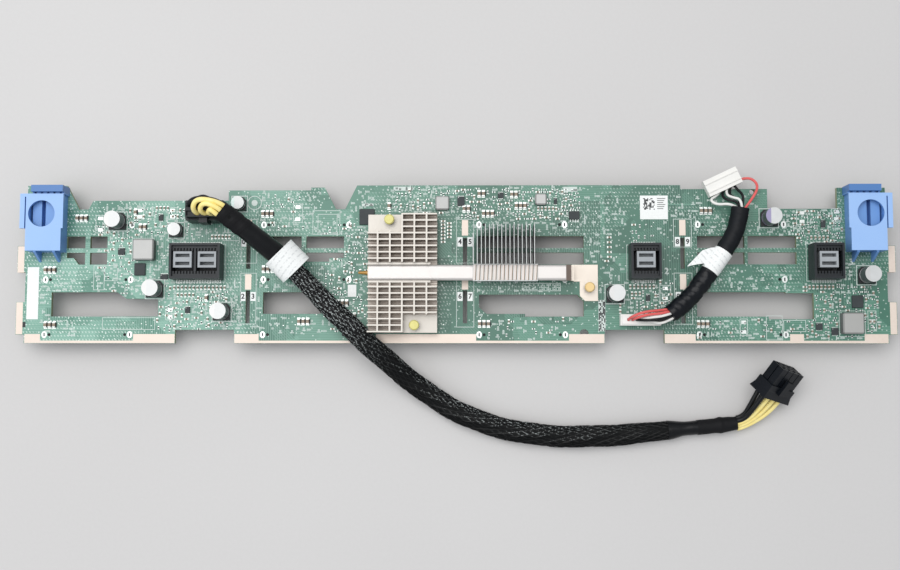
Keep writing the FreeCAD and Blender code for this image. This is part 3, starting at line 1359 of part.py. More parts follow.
signal_near_routes = [
    [(83.9, -27.55, 17.6), (84.2, -26.2, 22.6), (90.8, -24.4, 24.0), (98.9, -26.6, 22.0), (102.83, -23.87, 20.93)],
    [(85.9, -27.55, 17.6), (86.2, -26.9, 22.2), (92.6, -25.6, 24.0), (99.9, -27.4, 22.7), (103.67, -24.81, 21.61)],
    [(87.9, -27.55, 17.6), (88.2, -27.5, 22.0), (94.5, -27.6, 23.4), (101.0, -28.1, 21.8), (104.25, -25.93, 20.93)],
    [(89.9, -27.55, 17.6), (90.2, -27.4, 21.4), (95.2, -27.2, 21.9), (100.2, -27.2, 21.1), (103.4, -25.0, 20.2)],
    [(91.9, -27.55, 17.6), (92.2, -27.0, 20.3), (95.5, -26.3, 20.6), (99.4, -26.3, 20.4), (102.55, -24.07, 19.47)],
    [(93.9, -27.55, 17.6), (94.2, -27.9, 20.0), (97.5, -28.6, 20.8), (100.8, -28.3, 20.4), (103.97, -26.13, 19.47)],
    [(95.9, -27.55, 17.6), (96.3, -27.5, 19.6), (99.9, -27.4, 19.7), (103.13, -25.19, 18.79)],
]
group([tube(route, signal_wire, "signal_wires_near") for route in signal_near_routes], "signal_wires_near")

bundle_route = [
    (103.4, -25.0, 20.2),
    (111.2, -19.6, 18.8),
    (119.0, -10.0, 18.5),
    (129.5, 4.6, 18.6),
    (134.9, 12.9, 18.5),
    (137.4, 19.9, 18.4),
    (138.5, 26.8, 18.9),
]
keep(tube(bundle_route, signal_bundle_diameter, "signal_bundle"), "signal_bundle")

signal_far_routes = [
    [(136.5, 27.1, 19.2), (136.6, 29.6, 19.4), (133.6, 30.8, 18.6), (130.4, 31.9, 16.4), (129.1, 34.6, 15.2)],
    [(137.8, 26.9, 19.8), (137.9, 30.0, 20.1), (135.2, 31.6, 19.0), (132.4, 32.8, 16.6), (131.0, 35.5, 15.2)],
    [(138.0, 26.9, 18.2), (138.2, 30.6, 18.6), (136.6, 32.6, 17.8), (134.2, 33.8, 16.2), (132.9, 36.3, 15.2)],
    [(139.2, 26.7, 19.4), (139.4, 31.0, 19.9), (138.0, 33.3, 18.4), (136.0, 34.9, 16.4), (134.8, 37.2, 15.2)],
    [(139.4, 26.7, 18.0), (139.9, 31.6, 18.6), (139.3, 34.2, 17.2), (137.9, 35.9, 15.9), (136.7, 38.1, 15.2)],
    [
        (140.7, 26.5, 19.1),
        (144.4, 31.4, 19.4),
        (147.3, 36.2, 17.8),
        (146.9, 39.9, 16.2),
        (143.4, 42.2, 15.3),
        (139.6, 41.2, 15.2),
    ],
]
group([tube(route, signal_wire, "signal_wires_far") for route in signal_far_routes], "signal_wires_far")

signal_turn = FreeCAD.Rotation(Vector(0, 0, 1), 25.2)
far_signal_body = middle_box(signal_plug_length, signal_plug_depth, signal_plug_thickness, 0, 0, 0)
far_signal_rails = [
    middle_box(signal_plug_length, signal_key, signal_key, 0, side * signal_plug_depth / 4, signal_plug_thickness)
    for side in (-1, 1)
]
far_signal_plug = fuse([far_signal_body] + far_signal_rails)
far_signal_plug.Placement = FreeCAD.Placement(Vector(0, 0, 0), signal_turn)
place(far_signal_plug, signal_plug_x, signal_plug_y, board_top)
keep(far_signal_plug, "signal_plug_far")

# The label is wound once round the cable, and its loose end stands off to the left as a flag.
label_ring = cut(
    cylinder(signal_label_radius, signal_label_length, 0, 0, -signal_label_length / 2),
    [cylinder(signal_label_radius - power_label_paper, signal_label_length, 0, 0, -signal_label_length / 2)],
)
label_ring.Placement = FreeCAD.Placement(Vector(0, 0, 0), FreeCAD.Rotation(Vector(0, 1, 0), 90))
label_half = signal_label_length / 2
flag = plate(
    "label_flag",
    [
        (-label_half, 3.1),
        (label_half, 3.1),
        (label_half / 2, 6.6),
        (-0.3, 9.0),
        (-10.9, 10.6),
        (-7.5, 7.4),
        (-5.0, 4.9),
    ],
    power_label_paper,
    3.0,
)
signal_label = fuse([label_ring, flag])
signal_label.Placement = FreeCAD.Placement(Vector(0, 0, 0), FreeCAD.Rotation(Vector(0, 0, 1), 54.3))
place(signal_label, signal_label_x, signal_label_y, signal_label_z)
keep(signal_label, "signal_label")


# ---------------------------------------------------------------- checks and export

doc.recompute()
for item in doc.Objects:
    if "Invalid" in item.State or "Error" in item.State:
        raise RuntimeError(f"{item.Label} did not build: {item.State}")
for role, item, path, diameter in tubes:
    expected = math.pi * (diameter.number / 2) ** 2 * path.Shape.Length
    share = item.Shape.Volume / expected
    if not 0.98 < share < 1.02:
        raise RuntimeError(f"{role} has {share:.3f} of the volume of its section along its length")
for node in nodes:
    shape = node.Shape
    if shape.isNull() or not shape.isValid() or not shape.Solids:
        raise RuntimeError(f"{node.Label} is not a valid solid")
    shape.exportStep(f"parts/{node.Label}.step")
    print(f"{node.Label:22s} solids {len(shape.Solids)} volume {shape.Volume:10.1f}")
print("nodes", len(nodes))
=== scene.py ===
import math
import random

import bpy
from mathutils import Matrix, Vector
from mathutils.bvhtree import BVHTree


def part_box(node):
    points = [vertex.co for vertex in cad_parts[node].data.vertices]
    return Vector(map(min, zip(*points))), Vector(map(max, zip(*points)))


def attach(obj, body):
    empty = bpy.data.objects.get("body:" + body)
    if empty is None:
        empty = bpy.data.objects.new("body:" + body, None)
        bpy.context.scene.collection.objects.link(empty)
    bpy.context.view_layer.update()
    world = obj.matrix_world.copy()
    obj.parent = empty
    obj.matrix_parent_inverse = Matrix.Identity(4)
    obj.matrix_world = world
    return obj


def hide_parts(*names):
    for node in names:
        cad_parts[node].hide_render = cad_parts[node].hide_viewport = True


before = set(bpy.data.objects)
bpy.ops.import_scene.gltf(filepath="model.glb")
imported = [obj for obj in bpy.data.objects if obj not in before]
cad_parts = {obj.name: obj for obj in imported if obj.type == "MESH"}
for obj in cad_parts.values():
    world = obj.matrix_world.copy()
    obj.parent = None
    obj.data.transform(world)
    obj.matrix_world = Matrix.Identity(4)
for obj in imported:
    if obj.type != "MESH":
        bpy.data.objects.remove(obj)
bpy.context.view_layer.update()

scene = bpy.context.scene
scene.view_settings.view_transform = "Standard"

# ---------------------------------------------------------------- camera, table and lamps
# The board is looked at from straight above and a little in front, through a normal lens.
# It lies on a pale grey satin table under a wide soft lamp in a bright room.


def pick(*pieces):
    """Select these pieces alone, the first one active, so that an operator acts on them."""
    bpy.ops.object.select_all(action="DESELECT")
    for piece in pieces:
        piece.select_set(True)
    if pieces:
        bpy.context.view_layer.objects.active = pieces[0]


def paint(code):
    """A colour from its usual six-digit code, as the shaders want it; a Value stays as it is."""
    if isinstance(code, Value):
        return code
    shares = [int(code[k:k + 2], 16) / 255 for k in (0, 2, 4)]
    linear = [c / 12.92 if c <= 0.04045 else ((c + 0.055) / 1.055) ** 2.4 for c in shares]
    return (*linear, 1.0)


class Value:
    """A number inside a material; maths on it adds Math nodes."""

    def __init__(self, finish, socket):
        self.finish = finish
        self.socket = socket

    def maths(self, operation, *others, clamp=False):
        values = {0: self}
        for k, other in enumerate(others, 1):
            values[k] = other
        return self.finish.add("ShaderNodeMath", {"operation": operation, "use_clamp": clamp}, values)

    def __add__(self, other):
        return self.maths("ADD", other)

    def __sub__(self, other):
        return self.maths("SUBTRACT", other)

    def __mul__(self, other):
        return self.maths("MULTIPLY", other)

    def __rsub__(self, other):
        return (self * -1).maths("ADD", other)

    __radd__ = __add__
    __rmul__ = __mul__

    def over(self, edge, width=0.02):
        """1 above an edge and 0 below it, with a short slope between."""
        return (self - (edge - width / 2)).maths("DIVIDE", width, clamp=True)

    def under(self, edge, width=0.02):
        """1 below an edge and 0 above it, with a short slope between."""
        return 1 - self.over(edge, width)

    def within(self, low, high, width=0.02):
        """1 between two edges and 0 outside them."""
        return self.over(low, width) * self.under(high, width)


class Finish:
    """One material: a Principled shader and the nodes that vary it."""

    def __init__(self, name, colour, roughness=0.5, **settings):
        self.material = bpy.data.materials.new(name)
        self.material.use_nodes = True
        self.nodes = self.material.node_tree.nodes
        self.links = self.material.node_tree.links
        self.shader = self.nodes["Principled BSDF"]
        self.place = self.add("ShaderNodeTexCoord", output="Object")
        self.set("Base Color", paint(colour))
        self.set("Roughness", roughness)
        for key, value in settings.items():
            self.set(key.replace("_", " "), value)

    def add(self, kind, settings=None, values=None, output=0):
        node = self.nodes.new(kind)
        for key, value in (settings or {}).items():
            setattr(node, key, value)
        for key, value in (values or {}).items():
            if isinstance(value, Value):
                self.links.new(value.socket, node.inputs[key])
            else:
                node.inputs[key].default_value = value
        return Value(self, node.outputs[output])

    def set(self, name, value):
        if isinstance(value, Value):
            self.links.new(value.socket, self.shader.inputs[name])
        else:
            self.shader.inputs[name].default_value = value

    def blend(self, share, low, high):
        """A colour between two, by a share from 0 to 1."""
        return self.add("ShaderNodeMix", {"data_type": "RGBA"}, {0: share, 6: paint(low), 7: paint(high)}, 2)

    def noise(self, size_mm, detail=3.0):
        """Cloudy variation whose clouds are about this many millimetres wide."""
        values = {"Vector": self.place, "Scale": 1000 / size_mm, "Detail": detail}
        return self.add("ShaderNodeTexNoise", {}, values)

    def cells(self, size_mm, settings=None, spread=1.0, output="Distance"):
        """A tiling of cells of about this size."""
        values = {"Vector": self.place, "Scale": 1000 / size_mm, "Randomness": spread}
        return self.add("ShaderNodeTexVoronoi", settings or {}, values, output)

    def axis(self, name):
        """One axis of the place, in millimetres."""
        return self.part(self.place, name) * 1000

    def part(self, vector, name):
        """One of a colour's or vector's three numbers."""
        return self.add("ShaderNodeSeparateXYZ", {}, {0: vector}, name)

    def facing(self, name):
        """One part of the surface normal."""
        return self.part(self.add("ShaderNodeNewGeometry", output="Normal"), name)

    def bump(self, height, depth_mm, strength=1.0):
        """Raise the surface by a height from 0 to 1 times this depth."""
        values = {"Height": height, "Distance": depth_mm / 1000, "Strength": strength}
        self.set("Normal", self.add("ShaderNodeBump", {}, values, "Normal"))

    def done(self, colour, roughness=None, *raised):
        """The material with its last colour and roughness, and with what raises its surface."""
        self.set("Base Color", colour)
        if roughness is not None:
            self.set("Roughness", roughness)
        if raised:
            self.bump(*raised)
        return self.material


def clouded(name, dark, light, size_mm, detail, roughness, sway=0.2, depth=0.0, strength=0.4, **settings):
    """A colour that clouds drift through; they sway its roughness and may raise its surface too."""
    finish = Finish(name, light, roughness, **settings)
    drift = finish.noise(size_mm, detail)
    raised = (drift, depth, strength) if depth else ()
    return finish.done(finish.blend(drift, dark, light), drift * sway + roughness if sway else None, *raised)


def mottled(name, dark, light, fine, broad, fine_share, roughness, sway=0.2, depth=0.04, strength=0.4,
            **settings):
    """A colour with a fine and a broad mottle, each (size in mm, detail); the fine one is raised."""
    finish = Finish(name, light, roughness, **settings)
    grain = finish.noise(*fine)
    drift = finish.noise(*broad)
    colour = finish.blend(grain * fine_share + drift * (1 - fine_share), dark, light)
    return finish.done(colour, grain * sway + roughness if sway else None, grain, depth, strength)


def dress(piece, material):
    """Give a piece one material all over."""
    piece.data.materials.clear()
    piece.data.materials.append(material)


pick()
bpy.ops.mesh.primitive_plane_add(size=6, location=(0, 0, 0))
table_top = bpy.context.object
table_top.name = "table_top"
dress(table_top, mottled("satin_table", "c2c0bf", "cfcecd", (1.6, 4.0), (240, 2.0), 0.3, 0.55, sway=0,
                         depth=0.03))


def lamp(name, x, y, z, side, power, warmth):
    """A square soft lamp that looks at the middle of the board."""
    bpy.ops.object.light_add(type="AREA", location=(x, y, z))
    made = bpy.context.object
    made.name = name
    made.data.size = side
    made.data.energy = power
    made.data.color = warmth
    made.rotation_euler = Vector((x, y, z)).to_track_quat("Z", "Y").to_euler()


lamp("overhead_lamp", -0.25, 0.35, 1.5, 1.3, 17, (1.0, 0.985, 0.97))
lamp("window_lamp", -1.6, -0.4, 1.3, 1.2, 7, (0.93, 0.96, 1.0))

room = bpy.data.worlds.new("room")
scene.world = room
room.use_nodes = True
room_light = room.node_tree.nodes["Background"].inputs
room_light["Color"].default_value = (0.93, 0.96, 1.0, 1)
room_light["Strength"].default_value = 0.55

view = bpy.data.cameras.new("view")
view.sensor_width = 36
view.lens = 46.03
view.clip_start = 0.01
camera = bpy.data.objects.new("camera", view)
camera.location = (0.0042, -0.05485, 0.573)
camera.rotation_euler = (math.radians(4.545), math.radians(0.656), math.radians(0.037))
scene.collection.objects.link(camera)
scene.camera = camera

# ---------------------------------------------------------------- sleeved power cable
# Seven wires lie in a woven black net, with shrunk tube and tape over both ends of the net.
# The cable leaves its plug, crosses the board, comes down over its edge and lies on the table.

MM = 0.001


def route_line(name, points):
    """A smooth spline through a cable's route, whose points are in millimetres."""
    curve = bpy.data.curves.new(name, "CURVE")
    curve.dimensions = "3D"
    curve.resolution_u = 14
    spline = curve.splines.new("NURBS")
    spline.points.add(len(points) - 1)
    for knot, (x, y, z) in zip(spline.points, points):
        knot.co = (x * MM, y * MM, z * MM, 1)
    spline.order_u = 3
    spline.use_endpoint_u = True
    piece = bpy.data.objects.new(name, curve)
    scene.collection.objects.link(piece)
    return piece


def read_line(points):
    """The points that a smooth route goes through, as its own spline gives them."""
    guide = route_line("guide", points)
    mesh = bpy.data.meshes.new_from_object(guide)
    line = [v.co.copy() for v in mesh.vertices]
    curve = guide.data
    bpy.data.objects.remove(guide)
    bpy.data.curves.remove(curve)
    bpy.data.meshes.remove(mesh)
    return line


class Course:
    """A cable's line with its length, and the two directions square to it at each place."""

    def __init__(self, line):
        self.line = line
        self.reach = [0.0]
        for a, b in zip(line, line[1:]):
            self.reach.append(self.reach[-1] + (b - a).length)
        self.length = self.reach[-1]

    def at(self, s):
        """Place, direction, left and up at a length along the line."""
        s = min(max(s, 0.0), self.length)
        k = 0
        while k < len(self.line) - 2 and self.reach[k + 1] < s:
            k += 1
        share = (s - self.reach[k]) / max(self.reach[k + 1] - self.reach[k], 1e-9)
        way = (self.line[k + 1] - self.line[k]).normalized()
        before = (self.line[k] - self.line[max(k - 1, 0)]).normalized() if k else way
        way = before.lerp(way, min(1.0, 0.5 + share)).normalized()
        left = Vector((0, 0, 1)).cross(way).normalized()
        return self.line[k].lerp(self.line[k + 1], share), way, left, way.cross(left)


def solid_from(name, rings, closed_ends=True):
    """A closed skin over rings of points, each ring with as many points."""
    sides = len(rings[0])
    points = [p for ring in rings for p in ring]
    faces = []
    for k in range(len(rings) - 1):
        for j in range(sides):
            a, b = k * sides + j, k * sides + (j + 1) % sides
            faces.append((a, b, b + sides, a + sides))
    if closed_ends:
        faces.append(tuple(range(sides))[::-1])
        faces.append(tuple((len(rings) - 1) * sides + j for j in range(sides)))
    mesh = bpy.data.meshes.new(name)
    mesh.from_pydata(points, [], faces)
    piece = bpy.data.objects.new(name, mesh)
    scene.collection.objects.link(piece)
    pick(piece)
    bpy.ops.object.mode_set(mode="EDIT")
    bpy.ops.mesh.select_all(action="SELECT")
    bpy.ops.mesh.normals_make_consistent(inside=False)
    bpy.ops.object.mode_set(mode="OBJECT")
    return piece


def smooth(piece, degrees=40):
    """Round shading, with edges sharper than this kept."""
    pick(piece)
    bpy.ops.object.shade_smooth_by_angle(angle=math.radians(degrees))


def skin_along(name, course, start, end, step, sides, outline):
    """A skin round a cable; outline(s, turn) gives how far it stands left and up."""
    count = max(2, round((end - start) / step))
    rings = []
    for k in range(count + 1):
        s = start + (end - start) * k / count
        middle, way, left, up = course.at(s)
        ring = []
        for j in range(sides):
            across, rise = outline(s, 2 * math.pi * j / sides)
            ring.append(middle + left * across + up * rise)
        rings.append(ring)
    return solid_from(name, rings)


def join(pieces):
    """Several pieces made one."""
    pick(*pieces)
    bpy.ops.object.join()
    return pieces[0]


def fix(piece, name, material):
    """Name a finished piece and fasten it to the board; no material means it has its own."""
    piece.name = name
    if material:
        dress(piece, material)
    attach(piece, "root")
    return piece


sleeve_points = [
    (-110.6, 23.4, 35.2), (-97.5, 13.6, 30), (-80.5, -0.5, 19.8), (-61.5, -20, 20.2), (-43, -38.2, 21),
    (-27, -52.5, 9.5), (-12, -64.4, 4.8), (6.5, -75.1, 4.7), (29, -82.0, 4.8), (55, -84.6, 4.7),
    (83, -83.3, 4.8), (110, -80.4, 4.6), (127, -79.0, 4.1), (138, -77.5, 4.8),
]
sleeve_course = Course(read_line(sleeve_points))
sleeve_length = sleeve_course.length
net_start, net_end = 0.039, sleeve_length - 0.0326
near_radius, far_radius = 4.35, 3.2
wire_lobes = 7
lobe_turn = 2 * math.pi / 0.19


def ease(value, low, high):
    """0 below low, 1 above high, and a smooth rise between."""
    share = min(max((value - low) / (high - low), 0.0), 1.0)
    return share * share * (3 - 2 * share)


def oval(turn, wide, high):
    """How far an oval's rim stands left and up at one turn, from its half sizes in millimetres."""
    return math.cos(turn) * wide * MM, math.sin(turn) * high * MM


def net_outline(s, turn, proud=0.0):
    """The net over the wires: wider than it is high, with the wires showing through."""
    fade = ease(s, net_start, net_start + 0.05) * (1 - ease(s, net_end - 0.03, net_end))
    wide = near_radius + 0.9 * fade
    high = 4.05 - 0.1 * fade
    lobe = 1 - (0.02 + 0.13 * fade) * (1 - math.cos(wire_lobes * (turn + lobe_turn * s))) / 2
    return oval(turn, wide * lobe + proud, high * lobe + proud)


def core_outline(s, turn):
    """The whole cable under net, tube and tape."""
    at_start = ease(s, 0.03, net_start + 0.01)
    at_end = ease(s, net_end - 0.004, net_end + 0.006)
    tail = 0.3 * ease(s, sleeve_length - 0.006, sleeve_length)
    near = s < 0.1
    share = at_start if near else 1 - at_end
    radius = near_radius if near else far_radius - tail
    across, rise = net_outline(s, turn)
    plain_across, plain_rise = oval(turn, radius, radius)
    return across * share + plain_across * (1 - share), rise * share + plain_rise * (1 - share)


cable_core = skin_along("cable_core", sleeve_course, 0.0, sleeve_length, 0.0011, 36, core_outline)
smooth(cable_core, 60)
core_jacket = clouded("cable_core", "040505", "0e1011", 1.1, 4.0, 0.5, 0.25, 0.08, 0.5,
                      Specular_IOR_Level=0.15)
fix(cable_core, "cable_core", core_jacket)
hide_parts("power_sleeve")

# The net is woven from flat bundles of polyester filament, some to the left, some to the right.
# It is drawn over the wires and held at both ends under tube and tape.

net_strands = 16
net_pitch = 0.1
net_radius = 4.7
strand_width = 0.5
strand_height = 0.15


def net_strand(name, hand, first):
    """One flat strand that winds round the cable, over and under those that cross it."""
    count = round((net_end - net_start) / 0.0010)
    half_wave = 0 if hand > 0 else math.pi
    rings = []
    for k in range(count + 1):
        s = net_start + (net_end - net_start) * k / count
        turn = hand * 2 * math.pi * s / net_pitch + first
        middle, way, left, up = sleeve_course.at(s)
        weave = 0.5 + 0.5 * math.cos(2 * net_strands * math.pi * s / net_pitch + half_wave)
        ring = []
        for across, rise in ((-0.5, 0.25), (0.0, 1.0), (0.5, 0.25), (0.0, -0.2)):
            swing = turn + across * strand_width / net_radius
            place = net_outline(s, swing, 0.05 + rise * strand_height + 0.1 * weave)
            ring.append(middle + left * place[0] + up * place[1])
        rings.append(ring)
    return solid_from(name, rings)


def filament_net():
    """Black filament with painted glints: pale specks painted all over above the board, and beyond it only
    along its back.
    """
    finish = Finish("filament_net", "0c0d0e", 0.4, Specular_IOR_Level=0.25)
    thread = finish.noise(0.75, 1.0)
    x = finish.axis("X")
    back = finish.facing("Y").within(0.2, 0.7, 0.2) * x.under(70, 60.0)
    # Painted highlights: pale specks blended into the black, only where these masks allow.
    painted_glints = thread.over(0.55, 0.1) * (x.under(-45, 30.0) + back * 0.8).maths("MINIMUM", 1.0)
    return finish.done(finish.blend(painted_glints, "060708", "979d9c"), thread * 0.25 + 0.3, thread, 0.05, 0.6)


strands = []
for k in range(net_strands):
    strands.append(net_strand(f"strand_l{k}", 1, 2 * math.pi * k / net_strands))
    strands.append(net_strand(f"strand_r{k}", -1, 2 * math.pi * (k + 0.5) / net_strands))
cable_net = fix(join(strands), "cable_net", filament_net())
smooth(cable_net, 50)

# Shrunk tube grips the cable at each end, glossy and faintly lumpy over the wires under it.
# Cloth tape is wound over its outer ends, where the wires part.


def lumps(s, turn, size, seed):
    """Gentle swells that repeat round the cable, from -1 to 1."""
    along = s / size
    first = math.sin(along * 2.1 + seed) * math.cos(2 * turn + along + seed)
    second = math.sin(along * 5.3 + 2.0 * seed) * math.cos(3 * turn - 1.7 * along)
    return 0.6 * first + 0.4 * second


def near_tube_outline(s, turn):
    swell = 0.16 * lumps(s, turn, 0.009, 0.6)
    wide = 4.6 + 0.55 * ease(s, 0.012, 0.034) + swell
    high = 4.55 - 0.2 * ease(s, 0.012, 0.034) + swell
    return oval(turn, wide, high)


def near_tape_outline(s, turn):
    seam = 0.18 * (1 if (s * 1000 / 5.2 + turn / (2 * math.pi)) % 1 > 0.5 else 0)
    swell = 0.18 * lumps(s, turn, 0.006, 2.1)
    return oval(turn, 4.62 + seam + swell, 4.45 + seam + swell)


def far_tube_outline(s, turn):
    narrow = ease(s, net_end - 0.002, net_end + 0.008)
    swell = 0.1 * lumps(s, turn, 0.008, 1.2)
    wide = 4.75 - 1.3 * narrow + swell
    high = 4.35 - 0.9 * narrow + swell
    return oval(turn, wide, high)


def far_tape_outline(s, turn):
    tail = sleeve_length - s
    step = 0.4 * math.exp(-(((tail - 0.0082) / 0.0013) ** 2))
    swell = 0.1 * lumps(s, turn, 0.005, 0.3)
    grow = 3.58 + step + swell - 0.4 * (1 - ease(tail, 0.0, 0.006))
    return oval(turn, grow * 1.02, grow)


def shrunk_tube():
    """Heat-shrunk black tube."""
    finish = Finish("shrunk_tube", "08090b", 0.28, Specular_IOR_Level=0.28)
    drift = finish.noise(6.0, 3.0)
    dust = finish.noise(0.5, 4.0)
    finish.set("Base Color", finish.blend(drift * 0.7 + dust * 0.3, "040507", "101215"))
    finish.set("Roughness", drift * 0.2 + 0.22)
    creases = finish.noise(2.2, 4.0)
    finish.bump(drift * 0.5 + creases * 0.5, 0.3, 0.5)
    return finish.material


def cloth_tape():
    """Black cloth tape, matt, with a fine weave."""
    finish = Finish("cloth_tape", "0d0d0e", 0.6, Specular_IOR_Level=0.2)
    weave = finish.cells(0.32, {"feature": "F1"}, 0.35)
    drift = finish.noise(3.5, 3.0)
    colour = finish.blend(drift * 0.8 + weave * 0.4, "08090a", "17171a")
    return finish.done(colour, drift * 0.2 + 0.55, weave, 0.06, 0.7)


tube_finish = shrunk_tube()
tape_finish = cloth_tape()
for name, start, end, step, outline, finish in (
    ("near_tube", 0.013, 0.0405, 0.0006, near_tube_outline, tube_finish),
    ("near_tape", 0.0, 0.0155, 0.0004, near_tape_outline, tape_finish),
    ("far_tube", net_end - 0.0015, sleeve_length - 0.018, 0.0006, far_tube_outline, tube_finish),
    ("far_tape", sleeve_length - 0.0195, sleeve_length, 0.0004, far_tape_outline, tape_finish),
):
    cover = skin_along(name, sleeve_course, start, end, step, 36, outline)
    smooth(cover, 50)
    fix(cover, name, finish)

# ---------------------------------------------------------------- power wires
# Seven insulated wires come up out of the plug in the header, lean over and enter the cable.
# Three are yellow and four are black, and the plug's front left cell is empty.

wire_thickness = 2.4
cell_x = [-126.55, -122.35, -118.15, -113.95]
cell_y = [22.65, 26.85]
cell_step = 4.2


def offset(start, *moves):
    """A point moved along directions, each by its own length."""
    place = Vector(start)
    for way, length in moves:
        place = place + Vector(way) * length
    return tuple(place)


def wire_piece(name, points, thickness):
    """A round wire along a smooth route, made a mesh, so that wires of a colour can join."""
    wire = route_line(name, points)
    wire.data.bevel_depth = thickness / 2 * MM
    wire.data.bevel_resolution = 4
    wire.data.use_fill_caps = True
    pick(wire)
    bpy.ops.object.convert(target="MESH")
    return wire


def wire_cover(name, dark, light, sheen=0.35):
    """Extruded wire insulation."""
    return clouded(name, dark, light, 3.0, 3.0, sheen - 0.05, 0.15, 0.04, 0.3, Specular_IOR_Level=0.3)


def power_wires(wires, end):
    """The wires of each colour at one end of the cable, joined; they stand for the CAD's plain ones."""
    made = []
    for colour, cover in (("yellow", yellow_cover), ("black", black_cover)):
        piece = fix(join(wires[colour]), f"{colour}_wires_{end}", cover)
        smooth(piece, 60)
        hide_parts(f"power_wires_{end}")
        made.append(piece)
    return made


near_mouth = sleeve_points[0]
near_way = (0.72, -0.592, -0.36)
mouth_back = (0.623, 0.782, 0.0)
mouth_up = (0.312, -0.248, 0.917)
near_wires = {"yellow": [], "black": []}
# Column and row of the cell, the two bends in between, and the wire's place in the mouth.
for colour, column, row, bends, back, up in (
    ("yellow", 1, 0, [(-124.2, 23.2, 34.5), (-121.4, 28.6, 39.2)], 2.6, 1.2),
    ("yellow", 2, 0, [(-120.8, 22.4, 34), (-118.6, 26.6, 38.6)], 0.1, 1.6),
    ("yellow", 3, 0, [(-116.8, 21.9, 33.4), (-115.4, 23.5, 36.8)], -2.5, 1.2),
    ("black", 0, 1, [(-127, 26.4, 33.6), (-121.4, 29.4, 37.4)], 2.9, -0.6),
    ("black", 1, 1, [(-122.9, 28.3, 33), (-118.5, 30.2, 36.6)], 1.0, -0.9),
    ("black", 2, 1, [(-118.2, 28.2, 32.5), (-115.5, 29.2, 35.4)], -1.0, -0.9),
    ("black", 3, 1, [(-113.8, 28, 32), (-112.8, 27.8, 34.4)], -2.9, -0.7),
):
    mouth = offset(near_mouth, (mouth_back, back), (mouth_up, up))
    route = [(cell_x[column], cell_y[row], 29.5), *bends, offset(mouth, (near_way, -3.6)), mouth]
    near_wires[colour].append(wire_piece(f"near_wire_{column}_{row}", route, wire_thickness))

yellow_cover = wire_cover("yellow_cover", "fae077", "fff5b4")
black_cover = wire_cover("black_cover", "08090a", "141618", 0.38)
cable_wires = power_wires(near_wires, "near")

far_mouth = sleeve_points[-1]
plug_middle = (152.6, -63.6, 10.1)
plug_nose = (0.508, 0.783, 0.358)
plug_side = (0.757, -0.208, -0.62)
plug_up = (0.411, -0.586, 0.698)
far_wires = {"yellow": [], "black": []}
for column in range(4):
    for row in range(2):
        if (column, row) == (3, 0):
            continue
        start = offset(far_mouth, ((0.166, -0.724, -0.667), (column - 1.5) * 1.75),
                       ((0.056, -0.666, 0.741), (row - 0.5) * 2.0))
        end = offset(plug_middle, (plug_side, (column - 1.5) * cell_step), (plug_up, (row - 0.5) * cell_step))
        near_plug = offset(end, (plug_nose, -7.5), (plug_up, 1.4 * (1 - row)))
        route = [start, offset(start, ((0.984, 0.161, 0.072), 3.5)), near_plug, end]
        colour = "yellow" if row and column else "black"
        far_wires[colour].append(wire_piece(f"far_wire_{column}_{row}", route, wire_thickness))

cable_wires += power_wires(far_wires, "far")

# ---------------------------------------------------------------- taped signal cable
# Seven thin wires leave the white header, lie together under black tape and spread again at a plug.
# The tape's upper half lies flat and dull, and its lower half is crumpled and shiny.

bundle_points = [
    (103.4, -25, 20.2), (111.2, -19.6, 18.8), (119, -10, 18.5), (129.5, 4.6, 18.6), (134.9, 12.9, 18.5),
    (137.4, 19.9, 18.4), (138.5, 26.8, 18.9),
]
bundle_course = Course(read_line(bundle_points))
bundle_length = bundle_course.length


def bundle_outline(s, turn):
    upper = ease(s, 0.030, 0.040)
    creases = 0.3 * lumps(s, turn, 0.0035, 0.9) + 0.14 * lumps(s, 2 * turn, 0.0017, 2.4)
    crumple = (1 - 0.75 * upper) * creases
    mouth = 0.45 * (1 - ease(s, 0.0, 0.006))
    seam = 0.12 if upper > 0.5 and (s * 1000 / 6.5 + turn / (2 * math.pi)) % 1 > 0.5 else 0.0
    wide = 4.25 + 0.25 * (1 - upper) + crumple + seam - mouth
    high = 3.85 + crumple + seam - mouth
    return oval(turn, wide, high)


def vinyl_tape():
    """Black vinyl tape, dull where it is smooth and shiny where it is creased."""
    finish = Finish("vinyl_tape", "08090c", 0.33, Specular_IOR_Level=0.25)
    crease = finish.noise(2.6, 5.0)
    lower = finish.axis("Y").under(2.0, 12.0)
    colour = finish.blend(crease, "030508", "0d1219")
    return finish.done(colour, 0.5 - lower * 0.22 + crease * 0.12, crease, 0.5, 0.35)


taped_bundle = skin_along("taped_bundle", bundle_course, 0.0, bundle_length, 0.0005, 40, bundle_outline)
smooth(taped_bundle, 45)
fix(taped_bundle, "taped_bundle", vinyl_tape())
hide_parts("signal_bundle")

